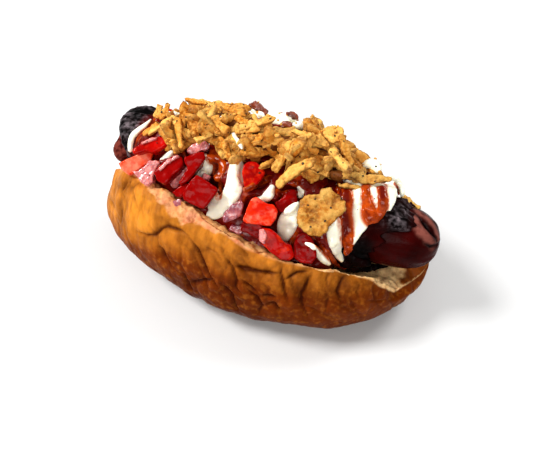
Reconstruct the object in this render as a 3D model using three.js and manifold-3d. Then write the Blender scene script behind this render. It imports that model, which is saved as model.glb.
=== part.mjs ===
// A loaded hot dog: a soft split bun, a sausage wrapped in bacon, diced tomato and onion under sauces, and a
// heap of crispy fried onions. Millimetres, +Z up, +X along the bun, -Y the side that the toppings face.
// The origin is under the middle of the whole, on the surface that the bun rests on.
import * as THREE from "three";
import { mergeVertices } from "three/addons/utils/BufferGeometryUtils.js";
import Module from "manifold-3d";

const wasm = await Module();
wasm.setup();

const { PI, abs, cos, sin, sqrt, min, max, sign } = Math;

// ---- Driving dimensions -------------------------------------------------------------------------
const CLEARANCE = 0.35; // between any two pieces that touch
const DEGREES = PI / 180;

const BUN_HALF_LENGTH = 78.2;
const BUN_CENTRE = 1.2; // x of the middle of its length
const BUN_HALF_WIDTH = 44;
const BUN_WAIST = 20; // height of the widest line of the side walls
const BUN_BOW = 7; // how far the ends bend back from the middle
const BUN_SKEW = 14; // how far right of the middle the fullest section lies
const BUN_FOOT = 1.06; // how much deeper than the foot the round underside would reach
const BUN_WALL_BEND = 2.4; // squareness of the upper half of its section
const BUN_FOOT_BEND = 2.7; // and of the lower half
const CREASE_DEPTH = 1.9;
// Cut lip of each side wall: [x, share of the half width, height].
const NEAR_LIP = [
  [-81, 0.1, 22], [-70, 0.3, 38], [-60, 0.4, 46], [-44, 0.5, 48], [-26, 0.58, 47.5],
  [-9, 0.67, 45], [10, 0.76, 41.5], [22, 0.79, 39], [38, 0.8, 38], [52, 0.81, 31.5],
  [66, 0.82, 23], [76, 0.7, 19.5], [81, 0.4, 17],
];
const FAR_LIP = [
  [-81, 0.3, 21], [-67, 0.8, 27], [-55, 0.8, 33], [-40, 0.8, 39], [0, 0.8, 42],
  [30, 0.8, 39], [50, 0.82, 32], [66, 0.86, 26], [76, 0.75, 20], [81, 0.4, 17],
];

// Line through the middle of the sausage, tip to tip.
const SAUSAGE_LINE = [
  [-73.5, 11, 36.5], [-62, 16.5, 44], [-40, 10.5, 45], [0, 1.5, 42.5],
  [35, -3.5, 40], [64, -4, 38], [78.5, -0.5, 37],
];
const SAUSAGE_RADIUS = 13.2;
const SAUSAGE_CAP = 16; // length of each round end
const BACON_GAP = 1.4; // between the bacon and the sausage, room for their facets
const BACON_THICK = 1.4;
const BACON_CRINKLE = 0.3;
const BACON_LAP = 23; // along the sausage from one turn of the spiral to the next
const BACON_ENDS = [-63, 59]; // x where the sleeve starts and ends

const FILLING_ENDS = [-63, 44];
const FILLING_CROWN = 20; // height of its middle over the line from lip to lip
const SAUCE_THICK = 2.6; // over the bacon
const DRAPE_ENDS = [34, 57.5]; // sauces hanging over the sausage beyond the filling
// Its hems at the left and at the right end, in degrees over the top from the +Y side.
const DRAPE_FAR_HEM = [-40, 20];
const DRAPE_NEAR_HEM = [215, 150];
const MAYONNAISE_LINES = [-57, -35, -20, -7, 8, 19, 36, 44, 53]; // x where each stripe crosses the top
const MAYONNAISE_RISE = 1.6;
const MAYONNAISE_HALF = 3.2; // half the width of a stripe

const HEAP_ENDS = [-55, 47];
const HEAP_STICKS = 32;
const STICK_LENGTH = [13, 25];
const STICK_THICK = [4.4, 6.4];
// Top of the heap of fried onions: [x, height].
const HEAP_TOP = [[-55, 62], [-45, 70], [-24, 76], [0, 78], [20, 76], [34, 66], [47, 54]];

// Loose pieces, each [x, y, z of its middle, length, depth, height, lean towards -Y, turn about +Z], both in
// degrees.
const TOMATO_CHUNKS = [
  [-56, -5.2, 48.5, 15, 10, 9, 35, 20],
  [-46.5, -2.6, 56.5, 16, 8, 7, 30, 14],
  [-36, -11.5, 53.8, 17, 9, 9, 40, 38],
  [-25.5, -9.5, 57, 12, 12, 9, 35, 60],
  [-19.4, -17.6, 52.6, 16, 15, 11, 40, -8],
  [-0.4, -7, 58.2, 13, 12, 10, 30, 10],
  [6.3, -21.2, 51.2, 16, 13, 10, 35, -6],
  [16.2, -27.6, 44.8, 15, 14, 9, 55, 30],
  [27.2, -27.6, 42.6, 13, 9, 9, 50, -12],
  [-28, -18, 49.6, 12, 7, 7, 40, -20],
  [16.8, -12.4, 55, 9, 8, 8, 30, 0],
  [2.6, -28.4, 45, 13, 10, 9, 55, 12],
  [-34, 31, 49, 15, 12, 10, -45, 12],
  [-8, 33.5, 47, 15, 13, 10, -45, -15],
  [20, 31, 48, 14, 12, 10, -42, 20],
];
const ONION_CHUNKS = [
  [-27.2, -1.2, 61, 9, 8, 7, 25, 25],
  [-47.2, -11.2, 48.8, 15, 9, 8, 40, 24],
  [-18.4, -8, 58.5, 6, 6, 6, 30, 0],
  [-4.6, -24.4, 48.6, 10, 9, 8, 45, -20],
  [-47, 27, 50, 9, 8, 7, -45, 10],
  [5, 33, 47, 9, 8, 7, -45, 30],
];
const BACON_BITS = [
  [-7.5, 24.5, 71, 10, 7, 5, -20, -25],
  [8.5, 22.5, 71, 7, 5, 4, 0, 15],
  [6.5, 13.5, 73, 7, 5, 4, 10, 0],
];
const MAYONNAISE_MOUND = [4, 20, 60, 24, 20, 24, 0, 0]; // a dollop behind the crest
const FLAKE = [30, -17.6, 54, 20, 17, 3.4, 40, -34];
const LONG_FLAKE = [43.5, -1.4, 60.5, 27, 7, 3.4, 8, 6];

// ---- Small helpers ------------------------------------------------------------------------------
const power = (value, exponent) => sign(value) * abs(value) ** exponent;
const lerp = (a, b, t) => a + (b - a) * t;
const clamp = (value, low, high) => max(low, min(high, value));
const smooth = (t) => t * t * (3 - 2 * t);

// Reads column `column` of a table of rows [x, ...] at x, with an even curve between the rows.
function along(table, x, column) {
  if (x <= table[0][0]) return table[0][column];
  for (let i = 1; i < table.length; i++) {
    if (x > table[i][0]) continue;
    const t = (x - table[i - 1][0]) / (table[i][0] - table[i - 1][0]);
    return lerp(table[i - 1][column], table[i][column], lerp(t, smooth(t), 0.5));
  }
  return table.at(-1)[column];
}

// Seeded draw from 0 to 1, the same on every run.
function seeded(seed) {
  let state = seed;
  return () => {
    state = (state * 1664525 + 1013904223) % 4294967296;
    return state / 4294967296;
  };
}

// A closed manifold solid from points and triangles, turned to face outwards.
function solidOf(points, triangles) {
  const geometry = new THREE.BufferGeometry();
  geometry.setAttribute("position", new THREE.BufferAttribute(new Float32Array(points.flat()), 3));
  geometry.setIndex(triangles.flat());
  return manifoldOf(geometry);
}

function manifoldOf(geometry) {
  const bare = geometry.clone();
  bare.deleteAttribute("normal");
  bare.deleteAttribute("uv");
  const merged = mergeVertices(bare, 1e-4);
  const vertProperties = new Float32Array(merged.attributes.position.array);
  const triVerts = new Uint32Array(merged.index.array);
  const made = new wasm.Manifold(new wasm.Mesh({ numProp: 3, vertProperties, triVerts }));
  if (made.volume() > 0) return made;
  for (let i = 0; i < triVerts.length; i += 3) triVerts.subarray(i, i + 3).reverse();
  return new wasm.Manifold(new wasm.Mesh({ numProp: 3, vertProperties, triVerts }));
}

function geometryOf(solid) {
  const mesh = solid.getMesh();
  const geometry = new THREE.BufferGeometry();
  const count = mesh.vertProperties.length / mesh.numProp;
  const positions = new Float32Array(count * 3);
  for (let i = 0; i < count; i++) {
    positions.set(mesh.vertProperties.subarray(i * mesh.numProp, i * mesh.numProp + 3), i * 3);
  }
  geometry.setAttribute("position", new THREE.BufferAttribute(positions, 3));
  geometry.setIndex(new THREE.BufferAttribute(mesh.triVerts, 1));
  return geometry;
}

// A skin over rings of points, each ring closed on itself. The first and last rings end in a point,
// or meet each other when `looped`.
function skinOf(rings, looped = false) {
  const sides = rings[0].length;
  const points = rings.flat();
  const triangles = [];
  const spans = looped ? rings.length : rings.length - 1;
  for (let i = 0; i < spans; i++) {
    const next = (i + 1) % rings.length;
    for (let j = 0; j < sides; j++) {
      const k = (j + 1) % sides;
      const [a, b, c, d] = [i * sides + j, i * sides + k, next * sides + k, next * sides + j];
      triangles.push([a, b, c], [a, c, d]);
    }
  }
  if (!looped) {
    for (const [ring, turn] of [[0, 1], [rings.length - 1, 0]]) {
      const middle = [0, 1, 2].map((axis) => rings[ring].reduce((sum, p) => sum + p[axis], 0) / sides);
      const tip = points.push(middle) - 1;
      for (let j = 0; j < sides; j++) {
        const [a, b] = [ring * sides + j, ring * sides + ((j + 1) % sides)];
        triangles.push(turn ? [tip, b, a] : [tip, a, b]);
      }
    }
  }
  return solidOf(points, triangles);
}

// The largest single body of a solid, so that no loose scrap stays.
function largest(solid) {
  return solid.decompose().reduce((best, body) => (body.volume() > best.volume() ? body : best));
}

// ---- Bun ----------------------------------------------------------------------------------------
const bunShare = (x) => (x - BUN_CENTRE) / BUN_HALF_LENGTH;
const bunMiddle = (x) => BUN_BOW * bunShare(x) ** 2;

// Share of the half width at x, from 1 at the fullest section down to 0 at the ends.
function bunFullness(x) {
  const shifted = bunShare(x) - (BUN_SKEW / BUN_HALF_LENGTH) * (1 - bunShare(x) ** 2);
  return max(0, 1 - abs(shifted) ** 2.1) ** (1 / 2.1);
}

// Wrinkled folds of the crust: slanting creases down the side walls, fading towards the lip.
function crustRelief(x, climb) {
  const slant = x / 8.5 + 1.3 * sin(climb * 2.4 + x / 31) + 0.5 * sin(x / 13);
  const fold = 1 - abs(sin(slant)) ** 0.6;
  return -CREASE_DEPTH * fold * clamp(1.3 - 0.8 * abs(climb), 0, 1);
}

const WALL_STEPS = 18;
const CHANNEL_STEPS = 9;

// One closed section of the bun at x: down the near wall, under the foot, up the far wall, then through the
// channel.
function bunSection(x) {
  const fullness = bunFullness(x);
  const width = BUN_HALF_WIDTH * fullness;
  const waist = BUN_WAIST - 3 * (1 - fullness);
  const depth = waist * BUN_FOOT * fullness ** 0.7;
  const lips = [NEAR_LIP, FAR_LIP].map((lip) => ({ share: along(lip, x, 1), height: along(lip, x, 2) }));
  const [nearAngle, farAngle] = lips.map(({ share }) => Math.acos(share ** (BUN_WALL_BEND / 2)));
  const ring = [];
  for (let i = 0; i <= WALL_STEPS; i++) {
    const angle = lerp(nearAngle, -PI - farAngle, i / WALL_STEPS);
    const near = cos(angle) > 0;
    const climb = sin(angle);
    const lip = lips[near ? 0 : 1];
    const lipShare = max(0.05, 1 - lip.share ** BUN_WALL_BEND) ** (1 / BUN_WALL_BEND);
    const rise = ((lip.height - waist) * min(1, fullness * 3)) / lipShare;
    const bend = climb > 0 ? BUN_WALL_BEND : BUN_FOOT_BEND;
    const relief = crustRelief(near ? x : x + 40, climb) * min(1, fullness * 1.5);
    const y = bunMiddle(x) - (width + relief) * power(cos(angle), 2 / bend);
    ring.push([x, y, max(0, waist + (climb > 0 ? rise : depth) * power(climb, 2 / bend))]);
  }
  const [near, far] = [ring[0], ring.at(-1)];
  const floor = min(sausageBottom(x) + 0.5, min(near[2], far[2]) - 3 * fullness);
  for (let i = 1; i < CHANNEL_STEPS; i++) {
    const turn = (PI * i) / CHANNEL_STEPS;
    const t = 0.5 - 0.5 * cos(turn);
    const rim = lerp(far[2], near[2], t);
    ring.push([x, lerp(far[1], near[1], t), lerp(rim, max(floor, 0.45 * rim), sin(turn) ** 1.1)]);
  }
  return ring;
}

function makeBun() {
  const stations = 34;
  const reach = 0.9985; // the rings stop just short of the ends, where they would shrink to nothing
  const rings = [];
  for (let i = 0; i <= stations; i++) {
    rings.push(bunSection(BUN_CENTRE + BUN_HALF_LENGTH * reach * sin(PI * (i / stations - 0.5))));
  }
  return skinOf(rings);
}

// ---- Sausage and bacon --------------------------------------------------------------------------
const sausageLine = new THREE.CatmullRomCurve3(SAUSAGE_LINE.map((point) => new THREE.Vector3(...point)));
const SAUSAGE_LENGTH = sausageLine.getLength();
const WRAP_RADIUS = SAUSAGE_RADIUS + BACON_GAP + BACON_THICK + BACON_CRINKLE;

// The share of the sausage's line that lies left of x, by halving.
function shareAt(x) {
  let [low, high] = [0, 1];
  for (let i = 0; i < 24; i++) {
    const middle = (low + high) / 2;
    if (sausageLine.getPointAt(middle).x < x) low = middle;
    else high = middle;
  }
  return low;
}

const sausageAt = (x) => sausageLine.getPointAt(shareAt(x));
const sausageBottom = (x) => sausageAt(clamp(x, -72, 72)).z - WRAP_RADIUS - CLEARANCE;

// Radius of the bare sausage at a distance along its line, with a round end of length `cap` at each tip.
function sausageRadius(distance, cap) {
  const toEnd = clamp(min(distance, SAUSAGE_LENGTH - distance), 0, cap);
  return SAUSAGE_RADIUS * (1 - (1 - toEnd / cap) ** 2.2) ** (1 / 2.1);
}

// A point beside the sausage's line, `angle` from its +Y side over the top.
function besideLine(distance, angle, radius) {
  const share = clamp(distance / SAUSAGE_LENGTH, 0, 1);
  const tangent = sausageLine.getTangentAt(share);
  const side = new THREE.Vector3(0, 0, 1).cross(tangent).normalize();
  const up = tangent.clone().cross(side);
  const outward = side.multiplyScalar(cos(angle)).addScaledVector(up, sin(angle));
  return sausageLine.getPointAt(share).addScaledVector(outward, radius).toArray();
}

// The sausage, or with `extra` a solid that stands that far outside its skin.
function makeSausage(extra, cap) {
  const sides = 16;
  const stations = 22;
  const rings = [];
  for (let i = 1; i < stations; i++) {
    const distance = (SAUSAGE_LENGTH * (1 - cos((PI * i) / stations))) / 2;
    const radius = sausageRadius(distance, cap) + extra;
    rings.push(Array.from({ length: sides }, (_, j) => besideLine(distance, (2 * PI * j) / sides, radius)));
  }
  return skinOf(rings);
}

// The bacon: a sleeve whose outside steps where one turn of the spiral laps over the last, with wavy ends.
function makeBacon() {
  const sides = 16;
  const stations = 18;
  const [from, to] = BACON_ENDS.map((x) => shareAt(x) * SAUSAGE_LENGTH);
  const distanceOf = (share, angle) => {
    const wave = 2.2 * sin(2 * angle + 1) + 1.2 * sin(3 * angle);
    return lerp(from, to, share) + wave * (2 * share - 1) ** 3;
  };
  const thicknessOf = (distance, angle) => {
    const lap = (distance / BACON_LAP + angle / (2 * PI) + 1) % 1;
    return BACON_THICK * (0.7 + 0.3 * lap) + BACON_CRINKLE * sin(5 * angle + distance / 2.4);
  };
  const ring = (share, isOuter) =>
    Array.from({ length: sides }, (_, j) => {
      const angle = (2 * PI * j) / sides;
      const distance = distanceOf(share, angle);
      const thickness = isOuter ? thicknessOf(distance, angle) : 0;
      return besideLine(distance, angle, SAUSAGE_RADIUS + BACON_GAP + thickness);
    });
  const shares = Array.from({ length: stations + 1 }, (_, i) => i / stations);
  const outer = shares.map((share) => ring(share, true));
  const inner = shares.map((share) => ring(share, false)).reverse();
  return skinOf([...outer, ...inner], true);
}

// ---- Filling: diced vegetables and sauces between the walls and over the wrapped sausage --------
// Stripes of mayonnaise that stand proud of the filling's top.
function mayonnaiseRidge(x) {
  return MAYONNAISE_LINES.reduce((rise, line) => {
    const away = abs(x - line) / MAYONNAISE_HALF;
    return away < 1 ? rise + MAYONNAISE_RISE * smooth(1 - away) : rise;
  }, 0);
}

// Height of the filling's top at x, at a share t of the way from the near lip to the far lip.
function fillingTop(x, y, t, near, far) {
  const crown = FILLING_CROWN * clamp((x - FILLING_ENDS[0] + 10) / 18, 0.3, 1);
  const dome = lerp(near[2], far[2], t) + crown * (1 - abs(2 * t - 1) ** 2.6);
  const line = sausageAt(x);
  const reach = WRAP_RADIUS + SAUCE_THICK;
  const jacket = line.z + reach - (y - line.y) ** 2 / (2 * reach);
  return max(dome, jacket) + mayonnaiseRidge(x) * min(1, 4 * t * (1 - t));
}

// The bed of filling: sections with the channel's shape below and a crown above. `extra` swells it.
function makeBed(extra) {
  const stations = 21;
  const across = 9;
  const wallGap = CLEARANCE + 0.4 - extra;
  const rings = [];
  for (let i = 0; i <= stations; i++) {
    const x = lerp(FILLING_ENDS[0] - extra, FILLING_ENDS[1] + extra, i / stations);
    const section = bunSection(x);
    const channel = section.slice(WALL_STEPS + 1);
    const line = sausageAt(x);
    const low = channel.map(([, y, z], j) => {
      const inward = 1 - (2 * j) / (channel.length - 1);
      const underSausage = abs(y - line.y) < 0.9 * SAUSAGE_RADIUS ? line.z : 0;
      return [x, y - inward * wallGap * 2, max(z + wallGap, underSausage)];
    });
    const near = low.at(-1);
    const far = low[0];
    const top = [];
    const fullHeight = 1 - abs((2 * i) / stations - 1) ** 8;
    for (let j = 1; j < across; j++) {
      const t = j / across;
      const y = lerp(near[1], far[1], t);
      const rest = lerp(near[2], far[2], t);
      top.push([x, y, lerp(rest, fillingTop(x, y, t, near, far), 0.4 + 0.6 * fullHeight) + extra]);
    }
    rings.push([...low, ...top]);
  }
  return skinOf(rings);
}

// Sauces that hang over the wrapped sausage beyond the bed, scalloped along both hems.
function makeDrape(extra) {
  const stations = 8;
  const around = 12;
  const rings = [];
  for (let i = 0; i <= stations; i++) {
    const x = lerp(DRAPE_ENDS[0] - extra, DRAPE_ENDS[1] + extra, i / stations);
    const distance = shareAt(x) * SAUSAGE_LENGTH;
    const hems = [DRAPE_FAR_HEM, DRAPE_NEAR_HEM].map(([left, right]) => lerp(left, right, i / stations));
    const scallop = 12 * cos(x / 1.4);
    const [farHem, nearHem] = [hems[0] - scallop, hems[1] + scallop];
    const thickness = (SAUCE_THICK + mayonnaiseRidge(x)) * (1 - 0.5 * (i / stations) ** 6) + extra;
    const arc = (from, to, radius) =>
      Array.from({ length: around }, (_, j) => {
        return besideLine(distance, lerp(from, to, j / (around - 1)) * DEGREES, radius);
      });
    const outer = arc(farHem, nearHem, WRAP_RADIUS + thickness);
    rings.push([...outer, ...arc(nearHem, farHem, 0.75 * SAUSAGE_RADIUS)]);
  }
  return skinOf(rings);
}

// ---- Loose toppings -----------------------------------------------------------------------------
// A rough-cut block: a box with its edges and corners drawn in, its points nudged at random.
function makeChunk([x, y, z, length, depth, height, lean, turn], seed, extra) {
  const random = seeded(seed);
  const geometry = new THREE.BoxGeometry(2, 2, 2, 2, 2, 2);
  geometry.deleteAttribute("normal");
  geometry.deleteAttribute("uv");
  const block = mergeVertices(geometry, 1e-4);
  const points = block.attributes.position;
  const half = [length, depth, height].map((side) => side / 2);
  for (let i = 0; i < points.count; i++) {
    const at = [points.getX(i), points.getY(i), points.getZ(i)];
    const facesMet = at.reduce((sum, share) => sum + abs(share), 0);
    const drawnIn = [0, 1, 0.87, 0.74][Math.round(facesMet)] * (1 + 0.14 * (random() - 0.5));
    points.setXYZ(i, ...at.map((share, axis) => share * (drawnIn * half[axis] + extra * 1.5)));
  }
  block.rotateZ(turn * DEGREES);
  block.rotateX(lean * DEGREES);
  block.translate(x, y, z);
  return manifoldOf(block);
}

// Top of the core of the heap, under the sticks.
function heapTop(x, t) {
  const rim = 1 - abs(2 * t - 1) ** 2.4;
  return lerp(57, along(HEAP_TOP, x, 1) - 5.5, rim);
}

const heapBack = (x) => 27 - 5 * (x / 55) ** 2;
const heapFront = (x) => -5 + 5 * (x / 55) ** 2;

function makeHeapCore() {
  const stations = 12;
  const across = 7;
  const rings = [];
  for (let i = 0; i <= stations; i++) {
    const x = lerp(...HEAP_ENDS, i / stations);
    const narrow = sqrt(max(0.1, 1 - ((2 * i) / stations - 1) ** 4));
    const middle = (heapFront(x) + heapBack(x)) / 2;
    const half = ((heapBack(x) - heapFront(x)) / 2) * narrow;
    const top = Array.from({ length: across + 1 }, (_, j) => {
      return [x, lerp(middle - half, middle + half, j / across), lerp(57, heapTop(x, j / across), narrow)];
    });
    rings.push([...top, [x, middle + half * 0.7, 48], [x, middle - half * 0.7, 48]]);
  }
  return skinOf(rings);
}

// A bent stick of fried onion, thickest near its middle, lying along `heading` with its middle at `at`.
function makeStick(at, heading, length, thick, random) {
  const sides = 4;
  const steps = 2;
  const forward = new THREE.Vector3(...heading).normalize();
  const side = new THREE.Vector3(0, 0, 1).cross(forward).normalize();
  const up = forward.clone().cross(side);
  const bow = (random() - 0.3) * 0.22 * length;
  const rings = [];
  for (let i = 0; i <= steps; i++) {
    const t = i / steps - 0.5;
    const centre = new THREE.Vector3(...at).addScaledVector(forward, t * length);
    centre.addScaledVector(up, -4 * bow * t * t);
    const radius = (thick / 2) * (1 - 0.9 * t * t) * (0.85 + 0.3 * random());
    rings.push(
      Array.from({ length: sides }, (_, j) => {
        const angle = (2 * PI * j) / sides + i * 0.2;
        const spread = centre.clone().addScaledVector(side, radius * 1.15 * cos(angle));
        return spread.addScaledVector(up, radius * sin(angle)).toArray();
      }),
    );
  }
  return skinOf(rings);
}

function makeHeap() {
  const random = seeded(20);
  let heap = makeHeapCore();
  const golden = (sqrt(5) - 1) / 2;
  for (let i = 0; i < HEAP_STICKS; i++) {
    const x = lerp(HEAP_ENDS[0] + 5, HEAP_ENDS[1] - 5, (i + 0.5) / HEAP_STICKS);
    const t = lerp(0.02, 0.98, (i * golden) % 1);
    const y = lerp(heapFront(x), heapBack(x), t);
    const length = lerp(...STICK_LENGTH, random());
    const turn = PI * random();
    const slope = (t - 0.5) * -1.3;
    const heading = [cos(turn), sin(turn), slope * sin(turn) + 0.4 * (random() - 0.5)];
    const thick = lerp(...STICK_THICK, random());
    heap = heap.add(makeStick([x, y, heapTop(x, t) + 0.25 * thick], heading, length, thick, random));
  }
  return heap;
}

// A thin crumpled flake of fried onion.
function makeFlake([x, y, z, length, depth, thick, lean, turn], extra) {
  const geometry = new THREE.SphereGeometry(1, 12, 6);
  geometry.deleteAttribute("normal");
  geometry.deleteAttribute("uv");
  const flake = mergeVertices(geometry, 1e-4);
  const points = flake.attributes.position;
  for (let i = 0; i < points.count; i++) {
    const [u, v, w] = [points.getX(i), points.getZ(i), points.getY(i)];
    const angle = Math.atan2(v, u);
    const edge = 1 + 0.12 * sin(3 * angle + 1) + 0.07 * sin(5 * angle);
    const crumple = 0.9 * sin(2.6 * u + 1) * cos(2.2 * v);
    points.setXYZ(
      i,
      u * edge * (length / 2 + extra),
      -v * edge * (depth / 2 + extra),
      power(w, 0.7) * (thick / 2 + extra) + crumple,
    );
  }
  flake.rotateZ(turn * DEGREES);
  flake.rotateX(lean * DEGREES);
  flake.translate(x, y, z);
  return manifoldOf(flake);
}

// ---- Assembly -----------------------------------------------------------------------------------
const COLOURS = {
  crust: { color: 0xd98a33, roughness: 0.6 },
  sausage: { color: 0x5a1712, roughness: 0.25 },
  bacon: { color: 0x2a1512, roughness: 0.5 },
  filling: { color: 0xe8cfa0, roughness: 0.35 },
  tomato: { color: 0xc8201a, roughness: 0.25 },
  onion: { color: 0xe0a0a8, roughness: 0.4 },
  friedOnion: { color: 0xdda24a, roughness: 0.7 },
};

// Pieces in the order that they are laid down, each cut clear of the swollen forms of those already there.
const laid = [];
const pieces = [];

function cutClear(solid) {
  const reach = solid.boundingBox();
  const overlaps = (box, axis) => box.min[axis] < reach.max[axis] && box.max[axis] > reach.min[axis];
  const cutters = laid.filter((swollen) => [0, 1, 2].every((axis) => overlaps(swollen.boundingBox(), axis)));
  return largest(cutters.reduce((rest, swollen) => rest.subtract(swollen), solid));
}

function lay(name, solid, swollen, looks) {
  pieces.push([name, cutClear(solid), looks]);
  laid.push(swollen);
}

// One named piece for each row of a table of blocks.
function layChunks(name, rows, looks, firstSeed) {
  rows.forEach((row, index) => {
    const [solid, swollen] = [0, CLEARANCE].map((extra) => makeChunk(row, firstSeed + index, extra));
    lay(`${name}_${String(index + 1).padStart(2, "0")}`, solid, swollen, looks);
  });
}

const wrapReach = WRAP_RADIUS - SAUSAGE_RADIUS + 2 * CLEARANCE;
lay("sausage", makeSausage(0, SAUSAGE_CAP), makeSausage(wrapReach, SAUSAGE_CAP / 2), COLOURS.sausage);
pieces.push(["bacon_wrap", makeBacon(), COLOURS.bacon]);
layChunks("tomato", TOMATO_CHUNKS, COLOURS.tomato, 1);
layChunks("pink_onion", ONION_CHUNKS, COLOURS.onion, 51);
layChunks("bacon_bit", BACON_BITS, COLOURS.bacon, 71);
pieces.push(["bun", cutClear(makeBun()), COLOURS.crust]);
const [sauces, swollenSauces] = [0, 2 * CLEARANCE].map((extra) =>
  makeBed(extra).add(makeDrape(extra)).add(makeChunk(MAYONNAISE_MOUND, 91, extra)),
);
lay("filling", sauces, swollenSauces, COLOURS.filling);
for (const [name, flake] of [["fried_onion_flake", FLAKE], ["fried_onion_long_flake", LONG_FLAKE]]) {
  lay(name, makeFlake(flake, 0), makeFlake(flake, CLEARANCE), COLOURS.friedOnion);
}
pieces.push(["fried_onions", cutClear(makeHeap()), COLOURS.friedOnion]);

const hotDog = new THREE.Group();
for (const [name, solid, looks] of pieces) {
  const material = new THREE.MeshStandardMaterial({ metalness: 0, ...looks });
  const mesh = new THREE.Mesh(geometryOf(solid), material);
  mesh.name = name;
  hotDog.add(mesh);
}

// The middle of the whole stands over the origin.
const middle = new THREE.Box3().setFromObject(hotDog).getCenter(new THREE.Vector3());
hotDog.position.set(-middle.x, -middle.y, 0);

export default hotDog;
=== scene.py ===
"""A loaded hot dog: soft bun, bacon-wrapped sausage, diced tomato and onion, sauces and crispy fried onions.

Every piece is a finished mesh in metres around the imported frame. Sizes in this file are in millimetres unless
a name says otherwise, with +X along the bun, -Y the side that the toppings face and +Z up.
"""

import math
import random

import bpy
import numpy as np
from bpy.props import FloatProperty, FloatVectorProperty, IntProperty, PointerProperty
from mathutils import Matrix, Vector, noise
from mathutils.bvhtree import BVHTree


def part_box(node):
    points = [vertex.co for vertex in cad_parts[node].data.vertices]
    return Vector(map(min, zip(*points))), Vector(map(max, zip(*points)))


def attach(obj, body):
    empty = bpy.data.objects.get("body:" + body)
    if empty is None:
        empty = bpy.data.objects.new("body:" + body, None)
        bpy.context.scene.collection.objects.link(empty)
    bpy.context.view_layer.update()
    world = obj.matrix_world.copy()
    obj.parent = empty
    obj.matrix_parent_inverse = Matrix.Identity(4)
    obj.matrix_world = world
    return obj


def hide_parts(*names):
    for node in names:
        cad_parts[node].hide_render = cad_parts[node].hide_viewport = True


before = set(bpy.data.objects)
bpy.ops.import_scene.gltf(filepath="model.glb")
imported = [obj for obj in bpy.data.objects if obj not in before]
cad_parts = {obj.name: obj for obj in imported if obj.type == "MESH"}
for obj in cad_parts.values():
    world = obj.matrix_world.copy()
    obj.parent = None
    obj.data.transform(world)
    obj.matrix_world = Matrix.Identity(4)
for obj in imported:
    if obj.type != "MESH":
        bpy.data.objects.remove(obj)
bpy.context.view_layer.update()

bl_info = {
    "name": "Loaded Hot Dog",
    "version": (1, 0, 0),
    "blender": (4, 5, 0),
    "location": "View3D > Sidebar > Hot Dog",
    "description": "Builds a hot dog with bacon, diced vegetables, sauces and crispy onions, piece by piece",
    "category": "Object",
}

MM = 0.001
CENTRING = np.array((-1.087, -0.209, 0.0))  # brings the lines below to the middle of the whole part

# ---- The view, in the frame of a picture 533 x 452 pixels ----
PICTURE = (533, 452)
FOCAL_PIXELS = 550.0
AIM = np.array((1.363, 7.491, 15.0))
AZIMUTH, ELEVATION, ROLL = (math.radians(angle) for angle in (13.0, 45.28, 2.76))
DISTANCE = 264.6
PIXEL_HEIGHT = 0.68  # millimetres of height that lift a point by one pixel
MOST_PRESSED = 40  # pixels that a point is lowered at most

BACK = np.array(
    (
        math.sin(AZIMUTH) * math.cos(ELEVATION),
        -math.cos(AZIMUTH) * math.cos(ELEVATION),
        math.sin(ELEVATION),
    )
)
LEVEL = np.array((math.cos(AZIMUTH), math.sin(AZIMUTH), 0.0))
UPRIGHT = np.cross(BACK, LEVEL)
RIGHT = LEVEL * math.cos(ROLL) + UPRIGHT * math.sin(ROLL)
UP = UPRIGHT * math.cos(ROLL) - LEVEL * math.sin(ROLL)
EYE = AIM + BACK * DISTANCE

# ---- Bun, with the same sections as the solid's ----
BUN_HALF_LENGTH = 78.2
BUN_CENTRE = 1.2 + CENTRING[0]
BUN_HALF_WIDTH = 44.0
BUN_WAIST = 20.0
BUN_BOW = 7.0  # millimetres that both ends lie behind the middle
BUN_SKEW = 14.0  # millimetres that the widest place lies off the middle
BUN_FOOT = 1.06  # of the waist's height, for the depth below it
BUN_WALL_BEND = 2.4  # how square the walls are above the waist
BUN_FOOT_BEND = 2.7  # and below it
BUN_REACH = 0.9985  # of the half length, for the outermost sections
BUN_MESH = (288, 320)  # points round a section, and sections
SECTION_STEPS = 800  # for measuring the way round a section
# Cut lip of each side wall: (x, share of the half width, height).
NEAR_LIP = [
    (-81, 0.1, 22), (-70, 0.3, 38), (-60, 0.4, 46), (-44, 0.5, 48), (-26, 0.58, 47.5), (-9, 0.67, 45),
    (10, 0.76, 41.2), (22, 0.79, 41), (38, 0.8, 40.4), (52, 0.81, 35.2), (60, 0.82, 28.5), (66, 0.82, 22),
    (76, 0.7, 19), (81, 0.4, 17),
]
FAR_LIP = [
    (-81, 0.3, 21), (-67, 0.8, 27), (-55, 0.8, 33), (-40, 0.8, 39), (0, 0.8, 42), (30, 0.8, 39), (50, 0.82, 32),
    (66, 0.86, 26), (76, 0.75, 20), (81, 0.4, 17),
]
WALL_SHARE = 0.72  # of a section's way round that lies on the crust, the rest in the channel
NEAR_POINTS = 0.5  # of the points, for the near half of the crust
CRUMB_SHELF = 2.4  # how level the crumb runs inwards from the near lip
# How far down the near wall the torn crumb reaches: (x, width).
NEAR_CRUMB = [
    (-78, 0.5), (-60, 1.0), (-52, 1.6), (-47, 2.8), (-41, 4.8), (-35, 5.8), (-29, 6.8), (-23, 5.2), (-17, 3.6),
    (-9, 2.7), (-1, 1.8), (8, 0.8), (50, 0.8), (62, 2.0), (70, 0.7), (78, 0.4),
]

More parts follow.
